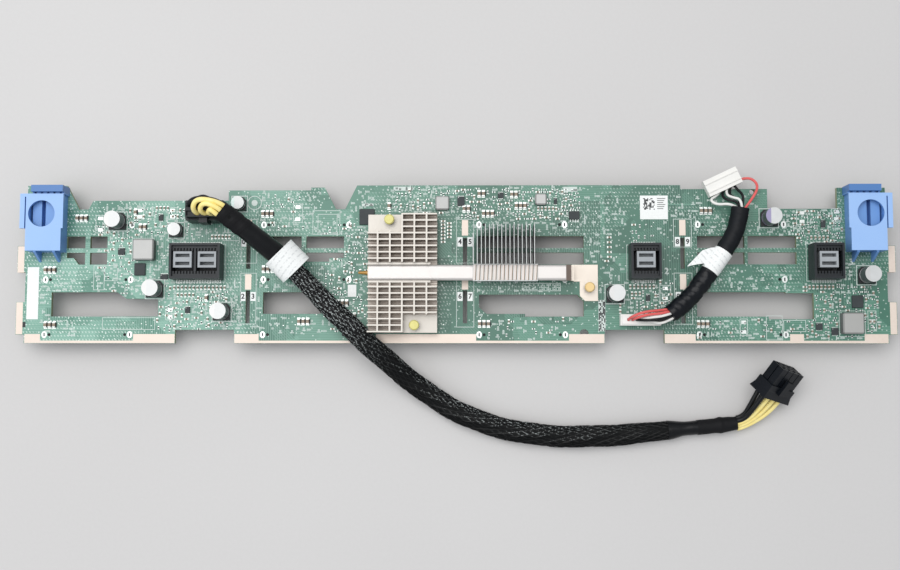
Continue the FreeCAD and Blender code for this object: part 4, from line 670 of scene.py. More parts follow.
signal_thickness = 1.3
near_signal_routes = {
    "red": [
        [(83.9, -27.55, 17.6), (84.2, -26.4, 22.6), (91, -23.9, 23.8), (98, -23.3, 22), (102.9, -22.6, 20.4)],
        [(85.9, -27.55, 17.6), (86.2, -27.1, 22.4), (92.4, -25.3, 24),
         (98.8, -24.8, 22.6), (103.4, -23.6, 21.2)],
    ],
    "black": [
        [(87.9, -27.55, 17.6), (88.2, -27.9, 21.6), (94, -28.1, 23.3),
         (100.3, -27.5, 22.4), (104.7, -25.6, 21.3)],
        [(91.9, -27.55, 17.6), (92.2, -27.6, 19.9), (95.8, -27.4, 20.4),
         (100, -26.6, 19.9), (104.2, -24.6, 19.2)],
        [(95.9, -27.55, 17.6), (96.3, -28.2, 19.3), (99.6, -28.6, 19.3), (104.6, -26, 18.8)],
    ],
    "white": [
        [(89.9, -27.55, 17.6), (90.2, -27.2, 21.6), (94.8, -26.6, 23.1),
         (99.6, -26.1, 22.6), (104.1, -24.6, 21.6)],
        [(93.9, -27.55, 17.6), (94.2, -28.3, 20.4), (97.6, -29.4, 21.2),
         (101, -28.9, 21.2), (105.3, -26.6, 20.6)],
    ],
}
far_signal_routes = {
    "black": [
        [(137.8, 26.9, 19.8), (136.6, 29.8, 20.4), (132.2, 30.3, 19.4),
         (129.9, 32.6, 17.2), (131, 35.5, 15.2)],
        [(138, 26.9, 18.2), (138.6, 30.6, 18.8), (135.6, 31.9, 18.4),
         (133.4, 33.6, 16.4), (134.8, 37.2, 15.2)],
        [(139.4, 26.7, 18), (140.2, 31.2, 18.6), (139.6, 34, 17.4), (137.9, 35.9, 15.9), (136.7, 38.1, 15.2)],
    ],
    "white": [
        [(136.2, 27.1, 19.2), (133.4, 28.6, 20.2), (127, 28.2, 18.6),
         (124.2, 30.9, 16.8), (127.6, 32.9, 15.6), (129.1, 34.6, 15.2)],
        [(138.8, 26.8, 20.4), (138.4, 30.6, 20.8), (134.8, 31.6, 19.4),
         (132, 33.4, 16.8), (132.9, 36.3, 15.2)],
    ],
    "red": [
        [(140.7, 26.5, 19.1), (144.4, 31.4, 19.4), (147.3, 36.2, 17.8),
         (146.9, 39.9, 16.2), (143.4, 42.2, 15.3), (139.6, 41.2, 15.2)],
    ],
}
signal_covers = {
    "red": wire_cover("red_cover", "d2504f", "e87370"),
    "black": wire_cover("thin_black_cover", "060708", "131517", 0.38),
    "white": wire_cover("white_cover", "d9d8d4", "f1f0ec", 0.42),
}
for end, node, routes in (("near", "signal_wires_near", near_signal_routes),
                          ("far", "signal_wires_far", far_signal_routes)):
    for colour, lines in routes.items():
        made = [wire_piece(f"{colour}_{end}_{k}", line, signal_thickness) for k, line in enumerate(lines)]
        piece = fix(join(made), f"{colour}_signal_wires_{end}", signal_covers[colour])
        smooth(piece, 60)
        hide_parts(node)

# ---------------------------------------------------------------- circuit board
# Copper layers in glass-fibre laminate under green solder mask, cut to its outline by a router.
# Planes and tracks show through the mask, and rows of tiny vias stitch the planes together.


def show(material, *nodes):
    """Give CAD pieces their finish."""
    for node in nodes:
        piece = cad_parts[node]
        if not piece.material_slots:
            piece.data.materials.append(material)
        for slot in piece.material_slots:
            slot.material = material


def solder_mask():
    finish = Finish("solder_mask", "5a8f7e", 0.4)
    planes = finish.part(finish.cells(26, {"distance": "CHEBYCHEV"}, 0.95, "Color"), "X")
    islands = finish.part(finish.cells(8, {"distance": "CHEBYCHEV"}, 1.0, "Color"), "Y")
    cloud = finish.noise(60, 2.0)
    field = planes * 0.5 + islands * 0.25 + cloud * 0.25
    x, y = finish.axis("X"), finish.axis("Y")
    west = x.under(-70, 120.0)
    deep = finish.blend(west, "245545", "3b7563")
    pale = finish.blend(west, "578875", "7cab9a")
    green = finish.blend(field.over(0.5, 0.6), deep, pale)
    # Tracks run in bundles, along the board in one field and across it in the next.
    along = (y * 0.9).maths("FRACT").within(0.1, 0.45, 0.2) * planes.over(0.66)
    across = (x * 0.9).maths("FRACT").within(0.1, 0.45, 0.2) * planes.under(0.25)
    slant = ((x + y) * 0.7).maths("FRACT").within(0.1, 0.4, 0.2) * islands.over(0.75)
    tracks = (along + across + slant).maths("MINIMUM", 1.0) * 0.4
    green = finish.blend(tracks, green, finish.blend(west, "769f8f", "97bcad"))
    # Stitching vias stand in staggered rows; single vias stand anywhere.
    leaning = finish.add("ShaderNodeCombineXYZ", {}, {0: x + y * 0.5, 1: y * 0.87, 2: 0.0})
    flat = {"voronoi_dimensions": "2D"}
    dots = finish.add("ShaderNodeTexVoronoi", flat, {"Vector": leaning, "Scale": 0.62, "Randomness": 0.0})
    stitched = dots.under(0.2, 0.1) * cloud.within(0.44, 0.56, 0.03)
    single = finish.cells(3.1, flat, 1.0).under(0.1, 0.04) * islands.under(0.7)
    vias = (stitched * 0.6 + single * 0.95).maths("MINIMUM", 1.0) * (west * 0.4 + 0.6)
    green = finish.blend(vias, green, "d5e4dc")
    # The cut edge shows the laminate's own tan glass and its copper layers.
    rim = finish.facing("Z").maths("ABSOLUTE").under(0.5, 0.1)
    layers = (finish.axis("Z") * 2.5).maths("FRACT").within(0.2, 0.7, 0.2)
    edge = finish.blend(layers, "6d8066", "9c9f7d")
    colour = finish.blend(rim, green, edge)
    return finish.done(colour, field * 0.15 + rim * 0.3 + 0.3, tracks * 1.5 + vias * 0.6, 0.03, 0.5)


show(solder_mask(), "circuit_board")

low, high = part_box("circuit_board")
board_top = high[2] / MM
board_under = low[2] / MM
board_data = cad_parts["circuit_board"].data
board_faces = [face.vertices for face in board_data.polygons]
board_tree = BVHTree.FromPolygons([v.co for v in board_data.vertices], board_faces)
columns = (-179.6, -72.7, 32.9, 139.8)
rows = (19.3, -7.65, -34.6)
sockets = [(x, y) for x in columns for y in rows]
socket_names = [f"drive_socket_{k:02d}" for k in range(1, 13)]


def settled(piece, edge):
    """Put a piece's place and size into its mesh, and bevel its sharp edges."""
    bpy.ops.object.transform_apply(location=True, rotation=True, scale=True)
    if edge:
        bevel = piece.modifiers.new("edge", "BEVEL")
        bevel.width = edge * MM
        bevel.segments = 2
        bevel.limit_method = "ANGLE"
        bpy.ops.object.modifier_apply(modifier="edge")
    return piece


def block(x0, x1, y0, y1, z0, z1, edge=0.0):
    """A block between two corners, in millimetres, with its edges bevelled."""
    pick()
    bpy.ops.mesh.primitive_cube_add(size=1)
    piece = bpy.context.object
    piece.scale = ((x1 - x0) * MM, (y1 - y0) * MM, (z1 - z0) * MM)
    piece.location = ((x0 + x1) / 2 * MM, (y0 + y1) / 2 * MM, (z0 + z1) / 2 * MM)
    return settled(piece, edge)


def centred(x, y, half_x, half_y, z0, z1, edge=0.0):
    """A block round a middle, in millimetres."""
    return block(x - half_x, x + half_x, y - half_y, y + half_y, z0, z1, edge)


def disc(x, y, z0, z1, radius, sides=24, edge=0.0, stretch=1.0):
    """An upright disc; stretch lengthens it along Y."""
    pick()
    bpy.ops.mesh.primitive_cylinder_add(vertices=sides, radius=radius * MM, depth=(z1 - z0) * MM)
    piece = bpy.context.object
    piece.scale = (1, stretch, 1)
    piece.location = (x * MM, y * MM, (z0 + z1) / 2 * MM)
    return settled(piece, edge)


def footprint(name, margin=0.0):
    """A CAD piece's west, east, south and north ends in millimetres, moved out by a margin."""
    low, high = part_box(name)
    return low[0] / MM - margin, high[0] / MM + margin, low[1] / MM - margin, high[1] / MM + margin


def at_origin(piece):
    """Put a piece's place into its mesh, so that the piece itself sits at the origin."""
    pick(piece)
    return settled(piece, 0)


def copies(original, places):
    """Copies of a piece that stands at the origin, at each (x, y, z, turn), made one piece."""
    made = []
    for x, y, z, turn in places:
        copy = bpy.data.objects.new("copy", original.data.copy())
        copy.location = (x * MM, y * MM, z * MM)
        copy.rotation_euler = (0, 0, math.radians(turn))
        scene.collection.objects.link(copy)
        made.append(copy)
    bpy.data.objects.remove(original)
    return at_origin(join(made))


# ---------------------------------------------------------------- bare metal on the board
# The foot of the board and its side tabs are bare plated copper, where the drive cage grips it.
# Short plated pads end the divider slots, and thin plating joins the pads along the foot.


plating = (board_top - 0.02, board_top + 0.05, 0.02)
foot_pads = (
    (-210.2, -202.5), (-156.9, -136.6), (-107.4, -95.5), (-38.4, 10.5), (55.6, 72.8), (102.0, 117.0),
    (162.7, 169.4), (198.7, 210.2),
)
foot_strips = (
    (-202.5, -156.9), (-95.5, -38.4), (10.5, 55.6), (117.0, 162.7), (169.4, 198.7),
)
bare = []
for x0, x1 in foot_pads:
    bare.append(block(x0, x1, -38.7, -34.3, *plating))
for x0, x1 in foot_strips:
    bare.append(block(x0, x1, -38.7, -37.5, *plating))
for side in (-1, 1):
    x0, x1 = sorted((side * 211.3, side * 214.55))
    bare.append(block(x0, x1, -4.15, 8.8, *plating))
    bare.append(block(x0, x1, -34.4, -18.8, *plating))
divider_slots = (-101.0, 5.1, 111.35)
for x in divider_slots:
    for y0, y1 in ((13.95, 21.6), (-12.55, -5.0)):
        bare.append(block(x - 1.55, x + 1.55, y0, y1, *plating))
for piece in list(bare):
    low_side = piece.copy()
    low_side.data = piece.data.copy()
    for v in low_side.data.vertices:
        v.co.z = (board_top + board_under) * MM - v.co.z
    low_side.data.flip_normals()
    scene.collection.objects.link(low_side)
    bare.append(low_side)
plated_copper = mottled("plated_copper", "d5c2b3", "e8ddd2", (1.2, 4.0), (14, 3.0), 0.4, 0.28, 0.3, 0.02,
                        Metallic=0.15)
fix(join(bare), "bare_copper", plated_copper)

# ---------------------------------------------------------------- white print and paper
# White epoxy ink marks outlines, bay numbers and small signs; paper labels are stuck on later.
# Signs that would be words are rows of plain short bars.

ink_top = board_top + 0.03


def inked(x0, x1, y0, y1):
    """A printed rectangle."""
    return block(x0, x1, y0, y1, board_top - 0.01, ink_top)


def ink_frame(x0, x1, y0, y1, line=0.25):
    """A printed outline."""
    return [
        inked(x0, x1, y0, y0 + line),
        inked(x0, x1, y1 - line, y1),
        inked(x0, x0 + line, y0 + line, y1 - line),
        inked(x1 - line, x1, y0 + line, y1 - line),
    ]


ink = []
for x0, x1, y0, y1 in (
    (-172.2, -146.3, -32.2, -26.2), (-177, -171.6, -12.8, -0.7), (-171.6, -165.2, -8.3, -0.7),
    (-176.6, -171.9, 15.3, 24.2), (-156.9, -152.9, 21.9, 28), (-141, -136.4, 21.9, 28),
    (-141.3, -136.8, -27.5, -21), (-79.3, -74.6, 20.5, 29.8), (138.5, 142.3, -35, -26.8),
    (99.8, 105.4, -18.5, -10.4), (167, 172.6, 19.2, 26.6), (184.2, 189, 20.5, 27.1),
    (-158.5, -147.5, 1.9, 12.9), (186.5, 199.3, -35.6, -22.9), (-69.7, -56.2, 14.5, 26.5),
    (-104.8, -96.9, -29.5, -4.4), (0.8, 9.5, 0.3, 22.1), (0.8, 9.5, -31.0, -4.4),
    (106.9, 115.8, 8.1, 22.1), (106.9, 115.8, -29.6, -4.4), (-104.8, -96.9, 0.3, 22.1),
    (151.2, 159.2, -37.2, -25.3), (159.6, 170.5, -33.2, -27.5), (83.9, 99.6, -8.0, 9.4),
    (171.3, 188.2, -8.6, 9.9), (-138.4, -112.3, -9.0, 9.9), (200.4, 204.6, -32.9, -22.9),
    (33.2, 51.7, -13.3, -9.4), (-113.8, -105.5, 11.5, 15.7),
):
    ink += ink_frame(x0, x1, y0, y1)
for x0, x1, y0, y1 in (
    (-30, -20.6, 36.2, 38.2), (53.4, 60.2, 35.6, 38.0), (-45.6, -39.8, 28.5, 29.8),
    (70.0, 73.4, -32.9, -17.7),
):
    ink.append(inked(x0, x1, y0, y1))
for k in range(8):
    ink += ink_frame(*footprint(f"capacitor_{k + 1}", 0.75), 0.4)
ink += ink_frame(-67.2, -57.6, 15.2, 24.6)
random.seed(3)
for row in range(3):
    for column in range(24):
        if random.random() < 0.75:
            x, y = 34.1 + column * 0.72, -12.7 + row * 1.0
            ink.append(inked(x, x + 0.45, y, y + random.choice((0.4, 0.7))))
bay_boxes, bay_tags = [], []
for x in divider_slots:
    for y0, y1 in ((8.55, 13.15), (-18.15, -13.75)):
        for side in (-1, 1):
            x0, x1 = sorted((x + side * 1.2, x + side * 3.75))
            bay_tags.append(inked(x0, x1, y0, y1))
            bay_boxes.append(((x0 + x1) / 2, (y0 + y1) / 2))
# A printed ring has a dot in its middle; a green disc between them leaves the mask's own colour.
ring_place = (-98.4, 30.2)
ink.append(disc(*ring_place, board_top - 0.01, ink_top, 3.5, 40))
ring_field = disc(*ring_place, board_top - 0.01, ink_top + 0.012, 3.15, 40)
ink.append(disc(*ring_place, board_top, ink_top + 0.02, 1.5, 24))
white_ink = clouded("white_ink", "b5c4bd", "dde5e1", 1.5, 4.0, 0.5)
fix(join(ink), "white_print", white_ink)
fix(join(bay_tags), "bay_tags", clouded("tag_ink", "e3e8e6", "f9fbfa", 1.5, 4.0, 0.5))
fix(ring_field, "ring_field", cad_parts["circuit_board"].material_slots[0].material)

# Signs in rows of short bars stand beside the small parts; their first bar is the tallest.
sign_zones = (
    (-203, -186, -36, -4, 36), (-176, -128, -20, 18, 150), (-172, -110, 14, 29, 110),
    (-140, -104, -33, -10, 120), (-96, -66, 16, 36, 40), (-98, -46, -34, -9, 50), (-66, -43, -26, 20, 90),
    (-60, -40, 22, 37, 20), (-33, 0, 25, 38, 60), (0, 62, 16, 38, 90), (11, 58, -37, -6, 40),
    (62, 84, -16, 34, 50), (84, 104, -26, -8, 50), (100, 150, 14, 34, 50), (118, 165, -14, -3, 30),
    (118, 186, -37, -27, 36), (165, 192, 9, 28, 70), (170, 206, -37, -10, 80), (186, 206, -8, 6, 20),
    (150, 172, 12, 26, 20),
)


def bar_sign(heights):
    """One sign of short printed bars, which stands at the origin."""
    bars = []
    for k, height in enumerate(heights):
        x = (k - (len(heights) - 1) / 2) * 0.55
        bars.append(centred(x, 0, 0.17, height / 2, -0.01, 0.03))
    return join(bars)


def on_board(x, y, half_x, half_y):
    """Whether a small rectangle lies wholly on the board's upper face."""
    for dx in (-half_x, 0, half_x):
        for dy in (-half_y, 0, half_y):
            hit = board_tree.ray_cast(Vector(((x + dx) * MM, (y + dy) * MM, 0.1)), Vector((0, 0, -1)))
            if hit[0] is None or abs(hit[0].z - board_top * MM) > 0.0001:
                return False
    return True


taken = []
clear_above = ("circuit_board", "power_wires", "power_sleeve", "power_plug_far", "heatsink", "push_pin")
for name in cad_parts:
    low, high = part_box(name)
    if high[2] / MM > board_top + 0.2 and low[2] / MM < board_top + 0.6 and not name.startswith(clear_above):
        taken.append(footprint(name))
taken.append((-41.9, -8.4, -33.8, 23.6))
taken += [(90.8, 104.4, 21.8, 33.6), (-209.7, -203.5, -27.2, -1.3), (-52.3, -47.9, -16.2, -10.1)]
for x0, x1 in foot_pads:
    taken.append((x0, x1, -38.8, -34.2))
for x in divider_slots:
    taken += [(x - 4, x + 4, 8.4, 22), (x - 4, x + 4, -18.4, -4.4), (x - 1.6, x + 1.6, -30, 12)]


def free(x, y, half_x, half_y, gap, places=taken):
    """Whether nothing stands here yet; if so, the place is taken."""
    for x0, x1, y0, y1 in places:
        beside = x + half_x + gap <= x0 or x - half_x - gap >= x1
        if not (beside or y + half_y + gap <= y0 or y - half_y - gap >= y1):
            return False
    if not on_board(x, y, half_x, half_y):
        return False
    places.append((x - half_x, x + half_x, y - half_y, y + half_y))
    return True


def turned(half, turn):
    """The half sizes of a place for a part that may be turned by a quarter."""
    return half[::-1] if turn else half


def anywhere():
    """A random place on the board."""
    return random.uniform(-209, 209), random.uniform(-36, 37)


# ---------------------------------------------------------------- small surface-mounted parts
# Chips, ceramic capacitors and resistors are soldered by their plated ends onto tinned pads.
# They stand in crowds round the regulators and the controller, and in threes by the drive sockets.

tin = clouded("tinned_metal", "bfc6c3", "eef1ee", 1.4, 3.0, 0.25, 0.25, 0.05, Metallic=0.6)
package = mottled("chip_package", "282c2e", "454b4d", (0.4, 4.0), (5.0, 2.0), 0.5, 0.45, strength=0.5,
                  Specular_IOR_Level=0.3)
tan_ceramic = clouded("ceramic_body", "6f6152", "a39380", 3.0, 3.0, 0.4)


def two_ended(length, width, height, body, pad=0.35):
    """A part at the origin, its length along Y, with plated ends on two tinned pads."""
    cap = length * 0.2
    middle = block(-width / 2, width / 2, -length / 2 + cap, length / 2 - cap, 0.02, height, 0.05)
    dress(middle, body)
    pieces = [middle]
    for side in (-1, 1):
        y0, y1 = sorted((side * length / 2, side * (length / 2 - cap)))
        end = block(-width / 2 - 0.03, width / 2 + 0.03, y0, y1, 0.02, height + 0.03, 0.06)
        y0, y1 = sorted((side * (length / 2 - cap), side * (length / 2 + pad)))
        land = block(-width / 2 - 0.12, width / 2 + 0.12, y0, y1, -0.01, 0.06)
        dress(end, tin)
        dress(land, tin)
        pieces += [end, land]
    return join(pieces)


def stand_cap(x, y):
    """Keep a place for a large chip capacitor."""
    spots.append((x, y, board_top, 0))
    taken.append((x - 0.9, x + 0.9, y - 2.0, y + 2.0))


triples = (
    (-183.5, 22.65), (-198.5, -2.95), (-197.8, -29.85), (-92.0, 24.75), (-91.4, -2.55), (-73.8, -28.15),
    (16.3, 24.75), (14.3, -29.35), (122.8, 26.05), (120.6, -29.35),
)
spots = []
for x, y in triples:
    for step in (-2.15, 0.0, 2.15):
        stand_cap(x + step, y)
# Larger chip capacitors stand in rows of their own near the regulators and the heatsink.
for x, y, count in (
    (-157.0, 25.6, 1), (-154.4, 18.2, 2), (-59.0, -19.2, 4), (-55.2, -25.6, 4), (4.6, 27.2, 2),
    (12.0, 34.6, 2), (28.0, 34.2, 2), (30.2, 28.6, 3), (-121.4, -16.6, 1), (-32.2, 28.6, 1),
):
    for k in range(count):
        stand_cap(x + k * 2.1, y)
fix(copies(two_ended(2.6, 1.35, 1.2, tan_ceramic, 0.6), spots), "ceramic_caps", None)
# Dark strips of painted shade stand on the east side of each cap, between the neighbours in a row.
shade_strips = []
for x, y, z, turn in spots:
    shade_strips.append(block(x + 0.78, x + 1.22, y - 1.15, y + 1.15, board_top, board_top + 0.5, 0.05))
fix(join(shade_strips), "cap_shade_strips", package)

chips = (
    (-163.4, 6.15, 3.3, 3.3), (3.1, 30.85, 3.5, 4.6), (22.6, 33.75, 2.7, 2.7), (49.4, 30.85, 1.5, 2.9),
    (176.7, -30.65, 3.2, 3.2), (184.3, -33.0, 3.4, 3.4), (179.8, 19.55, 2.2, 3.5),
    (-130.4, -22.55, 2.3, 3.1), (-144.3, 22.95, 2.2, 3.1), (-142.2, -6.25, 3.6, 2.5),
    (94.05, -16.65, 2.0, 3.1),
)
small_chips = []
for x, y, width, depth in chips:
    taken.append((x - width / 2 - 0.6, x + width / 2 + 0.6, y - depth / 2 - 0.6, y + depth / 2 + 0.6))
    body = centred(x, y, width / 2, depth / 2, board_top, board_top + 0.9, 0.08)
    mark = disc(x - width / 2 + 0.5, y + depth / 2 - 0.5, board_top + 0.9, board_top + 0.915, 0.16, 12)
    dress(body, package)
    dress(mark, tin)
    small_chips += [body, mark]
    count = max(3, round(width / 0.65))
    for k in range(count):
        foot_x = x + (k - (count - 1) / 2) * 0.6
        for side in (-1, 1):
            y0, y1 = sorted((y + side * (depth / 2 - 0.1), y + side * (depth / 2 + 0.45)))
            foot = block(foot_x - 0.15, foot_x + 0.15, y0, y1, board_top - 0.01, board_top + 0.12)
            dress(foot, tin)
            small_chips.append(foot)
fix(join(small_chips), "small_chips", None)

part_zones = (
    (-176, -158, -2, 20, 34), (-162, -128, 14, 28, 34), (-147, -110, -33, -10, 60),
    (-170, -158, -18, -2, 10), (-96, -74, 16, 34, 14), (-64, -43, -26, 20, 70), (-33, 2, 25, 37, 34),
    (2, 58, 22, 37, 110), (40, 62, 24, 36, 26), (86, 106, -24, -9, 34), (86, 98, 10, 20, 8),
    (165, 192, 10, 28, 60), (170, 206, -36, -10, 90), (14, 56, -36, -27, 12), (118, 170, -36, -27, 18),
    (-60, -44, -34, -20, 12),
)
random.seed(5)
small_half, tiny_half = (0.55, 1.15), (0.4, 0.8)
grid = 0.6
small, tiny = [], []
# Rows of like parts line the ports and the heatsink.
for x, y, count, step_x, step_y, turn in (
    (-137.2, -11.6, 14, 1.9, 0, 0), (-135.4, -15.2, 5, 1.9, 0, 0), (-119.0, 13.4, 6, 1.7, 0, 0),
    (85.6, -11.2, 7, 1.9, 0, 0), (86.4, -14.6, 4, 1.9, 0, 0), (80.6, -20.4, 2, 0, -3.0, 0),
    (-5.6, 21.0, 7, 0, -1.7, 90), (-2.6, 20.0, 5, 0, -1.7, 90), (172.6, -11.4, 7, 1.9, 0, 0),
    (75.6, 13.0, 5, 0, -2.4, 90), (-146.5, 27.6, 4, 1.8, 0, 0), (-131.8, 27.8, 3, 1.8, 0, 0),
    (41.0, 27.2, 5, 1.8, 0, 0), (74.2, 8.0, 4, 0, -2.2, 90), (174.0, 12.8, 5, 2.0, 0, 0),
):
    for k in range(count):
        spot = (x + k * step_x, y + k * step_y)
        if free(*spot, *turned(small_half, turn), 0.1):
            small.append((*spot, board_top, turn))
for x0, x1, y0, y1, count in part_zones:
    for _ in range(count):
        for _ in range(12):
            large = random.random() < 0.35
            turn = random.choice((0, 90))
            x = round(random.uniform(x0, x1) / grid) * grid
            y = round(random.uniform(y0, y1) / grid) * grid
            if free(x, y, *turned(small_half if large else tiny_half, turn), 0.15):
                (small if large else tiny).append((x, y, board_top, turn))
                break
fix(copies(two_ended(1.6, 0.8, 0.75, tan_ceramic, 0.3), small), "small_parts", None)
fix(copies(two_ended(1.0, 0.5, 0.4, package, 0.25), tiny), "tiny_parts", None)

# Unfilled places for parts keep their two large tinned pads inside a printed outline.
lands = []
for x, y0, y1 in (
    (-174.2, 15.8, 23.7), (-154.9, 22.3, 27.6), (-138.7, 22.3, 27.6), (-139.0, -27.0, -21.5),
    (-77.0, 21.0, 29.2), (140.4, -34.4, -27.4), (102.6, -18.0, -10.9), (169.8, 19.7, 26.1),
    (186.6, 21.0, 26.6),
):
    for y in (y0 + 1.1, y1 - 1.1):
        lands.append(centred(x, y, 1.2, 0.85, board_top - 0.01, board_top + 0.09, 0.05))
lock_reach = 20.93
for x, y in sockets:
    for side in (-1, 1):
        lands.append(disc(x + side * lock_reach, y, board_top - 0.01, board_top + 0.06, 1.35, 28, 0.03, 1.25))
for k in range(3):
    lands.append(disc(202.5, -25.2 - 2.7 * k, board_top - 0.01, board_top + 0.07, 0.75, 20, 0.03))
random.seed(23)
for _ in range(320):
    x, y = anywhere()
    if free(x, y, 0.28, 0.28, 0.1):
        lands.append(disc(x, y, board_top - 0.01, board_top + 0.03, 0.26, 8))
fix(join(lands), "tinned_lands", tin)

lock_slots = []
for socket_x, y in sockets:
    for side in (-1, 1):
        x = socket_x + side * lock_reach
        lock_slots.append(centred(x, y, 0.33, 0.85, board_top, board_top + 0.075, 0.02))
fix(join(lock_slots), "board_locks", package)

# The lower face carries small capacitors by the sockets, and the solder points of the parts above.


def turned_under(piece):
    """The same piece turned over, so that it hangs from the lower face."""
    for v in piece.data.vertices:
        v.co.y, v.co.z = -v.co.y, -v.co.z
    return piece


under_taken = [footprint(name, 1.5) for name in socket_names]
points = []
for name, across, deep, step in (("power_header", 4, 2, cell_step), ("signal_header", 7, 1, 2.0),
                                 ("dual_port_housing", 18, 2, 1.9), ("port_housing_1", 8, 2, 1.9),
                                 ("port_housing_2", 8, 2, 1.9)):
    x0, x1, y0, y1 = footprint(name)
    for column in range(across):
        for row in range(deep):
            x = (x0 + x1) / 2 + (column - (across - 1) / 2) * step
            y = (y0 + y1) / 2 + (row - (deep - 1) / 2) * cell_step
            if free(x, y, 0.7, 0.7, 0.1, under_taken):
                points.append((x, y, board_under, 0))
point = turned_under(disc(0, 0, -0.01, 0.45, 0.7, 16, 0.25))
fix(copies(point, points), "under_points", tin)
random.seed(41)
under_tries = []
for socket_x, socket_y in sockets:
    for _ in range(14):
        x = socket_x + round(random.uniform(-24, 24) / grid) * grid
        y = socket_y + random.choice((-1, 1)) * round(random.uniform(5.4, 9.0) / grid) * grid
        under_tries.append((x, y))
under_tries += [anywhere() for _ in range(220)]
under_small = [(x, y, board_under, 0) for x, y in under_tries if free(x, y, 0.5, 0.9, 0.3, under_taken)]
part = turned_under(two_ended(1.6, 0.8, 0.75, tan_ceramic, 0.3))
fix(copies(part, under_small), "under_parts", None)

signs = {(2.0, 1.0, 1.0): [], (1.2, 1.0, 1.0, 0.8): [], (1.0, 1.0): [], (1.0, 0.8, 1.0, 1.0, 0.8): []}
random.seed(31)
for x0, x1, y0, y1, count in sign_zones:
    for _ in range(count):
        for _ in range(8):
            heights = random.choice(list(signs))
            turn = random.choice((0, 0, 90))
            x, y = random.uniform(x0, x1), random.uniform(y0, y1)
            if free(x, y, *turned((len(heights) * 0.28, 0.55), turn), 0.12):
                signs[heights].append((x, y, board_top, turn))
                break
printed = [copies(bar_sign(heights), spots) for heights, spots in signs.items()]
fix(join(printed), "printed_signs", white_ink)
black_ink = clouded("black_ink", "1c2021", "33393a", 1.0, 3.0, 0.6, sway=0)


def number(text, x, y, z, height):
    """A plain printed number."""
    pick()
    bpy.ops.object.text_add(location=(x * MM, y * MM, z * MM))
    piece = bpy.context.object
    piece.data.body = text
    piece.data.size = height * MM
    piece.data.align_x = "CENTER"
    piece.data.align_y = "CENTER"
    piece.data.extrude = 0.01 * MM
    piece.data.offset = 0.03 * height * MM
    piece.data.resolution_u = 3
    bpy.ops.object.convert(target="MESH")
    return at_origin(bpy.context.object)


numbers = []
for k, (x, y) in enumerate(bay_boxes):
    numbers.append(number(str(k % 10), x, y, ink_top + 0.012, 3.4))
fix(join(numbers), "bay_numbers", black_ink)
port_numbers = [number("1", -107.6, -9.6, ink_top, 4.2), number("2", 103.4, -3.6, ink_top, 4.2),
                number("3", 193.2, 0.8, ink_top, 4.2)]
fix(join(port_numbers), "port_numbers", white_ink)

# Paper labels: a long blank strip, a small blank square, and a square one with a block of dots.


def label_paper(name, way=None):
    finish = Finish(name, "eef0ee", 0.65)
    fibre = finish.noise(0.8, 5.0)
    colour = finish.blend(fibre, "e2e5e3", "f7f8f7")
    if way:
        # Faint broken lines stand for print; they run across the cable.
        along = finish.axis("X") * way[0] + finish.axis("Y") * way[1]
        lines = (along * 0.42).maths("FRACT").within(0.3, 0.6, 0.1) * finish.noise(1.0, 1.0).over(0.5, 0.06)
        colour = finish.blend(lines * 0.35, colour, "a3a8aa")
    return finish.done(colour, None, fibre, 0.02, 0.4)


sticker_top = board_top + 0.1
stickers = []
for x0, x1, y0, y1 in (
    (-209.5, -203.8, -27.1, -1.5), (-52.2, -48.0, -16.1, -10.2), (90.8, 104.4, 21.9, 33.6),
):
    stickers.append(block(x0, x1, y0, y1, board_top, sticker_top, 0.03))
fix(join(stickers), "stickers", label_paper("label_paper"))
random.seed(7)
dots = [block(-212.4, -209.8, -31.0, -28.4, board_top - 0.02, board_top + 0.02)]
for column in range(5):
    for row in range(22):
        if random.random() < 0.5:
            x, y = 70.15 + column * 0.64, -32.75 + row * 0.68
            dots.append(block(x, x + 0.6, y, y + 0.64, board_top, ink_top + 0.02))
for column in range(11):
    for row in range(11):
        if random.random() < 0.52:
            x, y = 92.3 + column * 0.52, 26.6 + row * 0.52
            dots.append(block(x, x + 0.5, y, y + 0.5, sticker_top - 0.01, sticker_top + 0.015))
for row in range(6):
    x1, y = 103.2 - 0.5 * (row % 3), 32.0 - row
    dots.append(block(99.2, x1, y, y + 0.3, sticker_top - 0.01, sticker_top + 0.01))
fix(join(dots), "sticker_dots", black_ink)

# ---------------------------------------------------------------- drive sockets and cable ports
# Moulded black sockets hang under the board; their gilt contacts line both walls of each slot.
# The cable ports on top are moulded shrouds round grey contact wafers, on rows of tinned feet.


def moulded(name, dark, light, roughness=0.5):
    """Injection-moulded plastic with a fine grain."""
    return mottled(name, dark, light, (0.7, 4.0), (9.0, 2.0), 0.4, roughness - 0.1, Specular_IOR_Level=0.3)


def side_spots(name, count, step, reach):
    """Places for pins along a piece's south and north sides; those on the north are turned round."""
    x0, x1, y0, y1 = footprint(name)
    places = []
    for k in range(count):
        x = (x0 + x1) / 2 + (k - (count - 1) / 2) * step
        places += [(x, y0 - reach, board_top, 0), (x, y1 + reach, board_top, 180)]
    return places


socket_plastic = moulded("socket_plastic", "090b0e", "14181d")
show(socket_plastic, *socket_names)

# Each contact bows inwards halfway up its spring.
pin_step = 1.27
contact_foot = board_under - 7.6
contact_spots = []
for socket_x, y in sockets:
    for k in range(24):
        x = socket_x - 14.6 + k * pin_step
        contact_spots += [(x, y + 0.99, contact_foot, 0), (x, y - 0.99, contact_foot, 180)]
spring = block(-0.3, 0.3, -0.12, 0.12, 0, 5.0, 0.05)
for v in spring.data.vertices:
    if 0.001 < v.co.z < 0.004:
        v.co.y -= 0.00012
gilt = clouded("gilt_contact", "c89f45", "ecce7e", 1.2, 3.0, 0.22, Metallic=1.0)
fix(copies(spring, contact_spots), "socket_contacts", gilt)

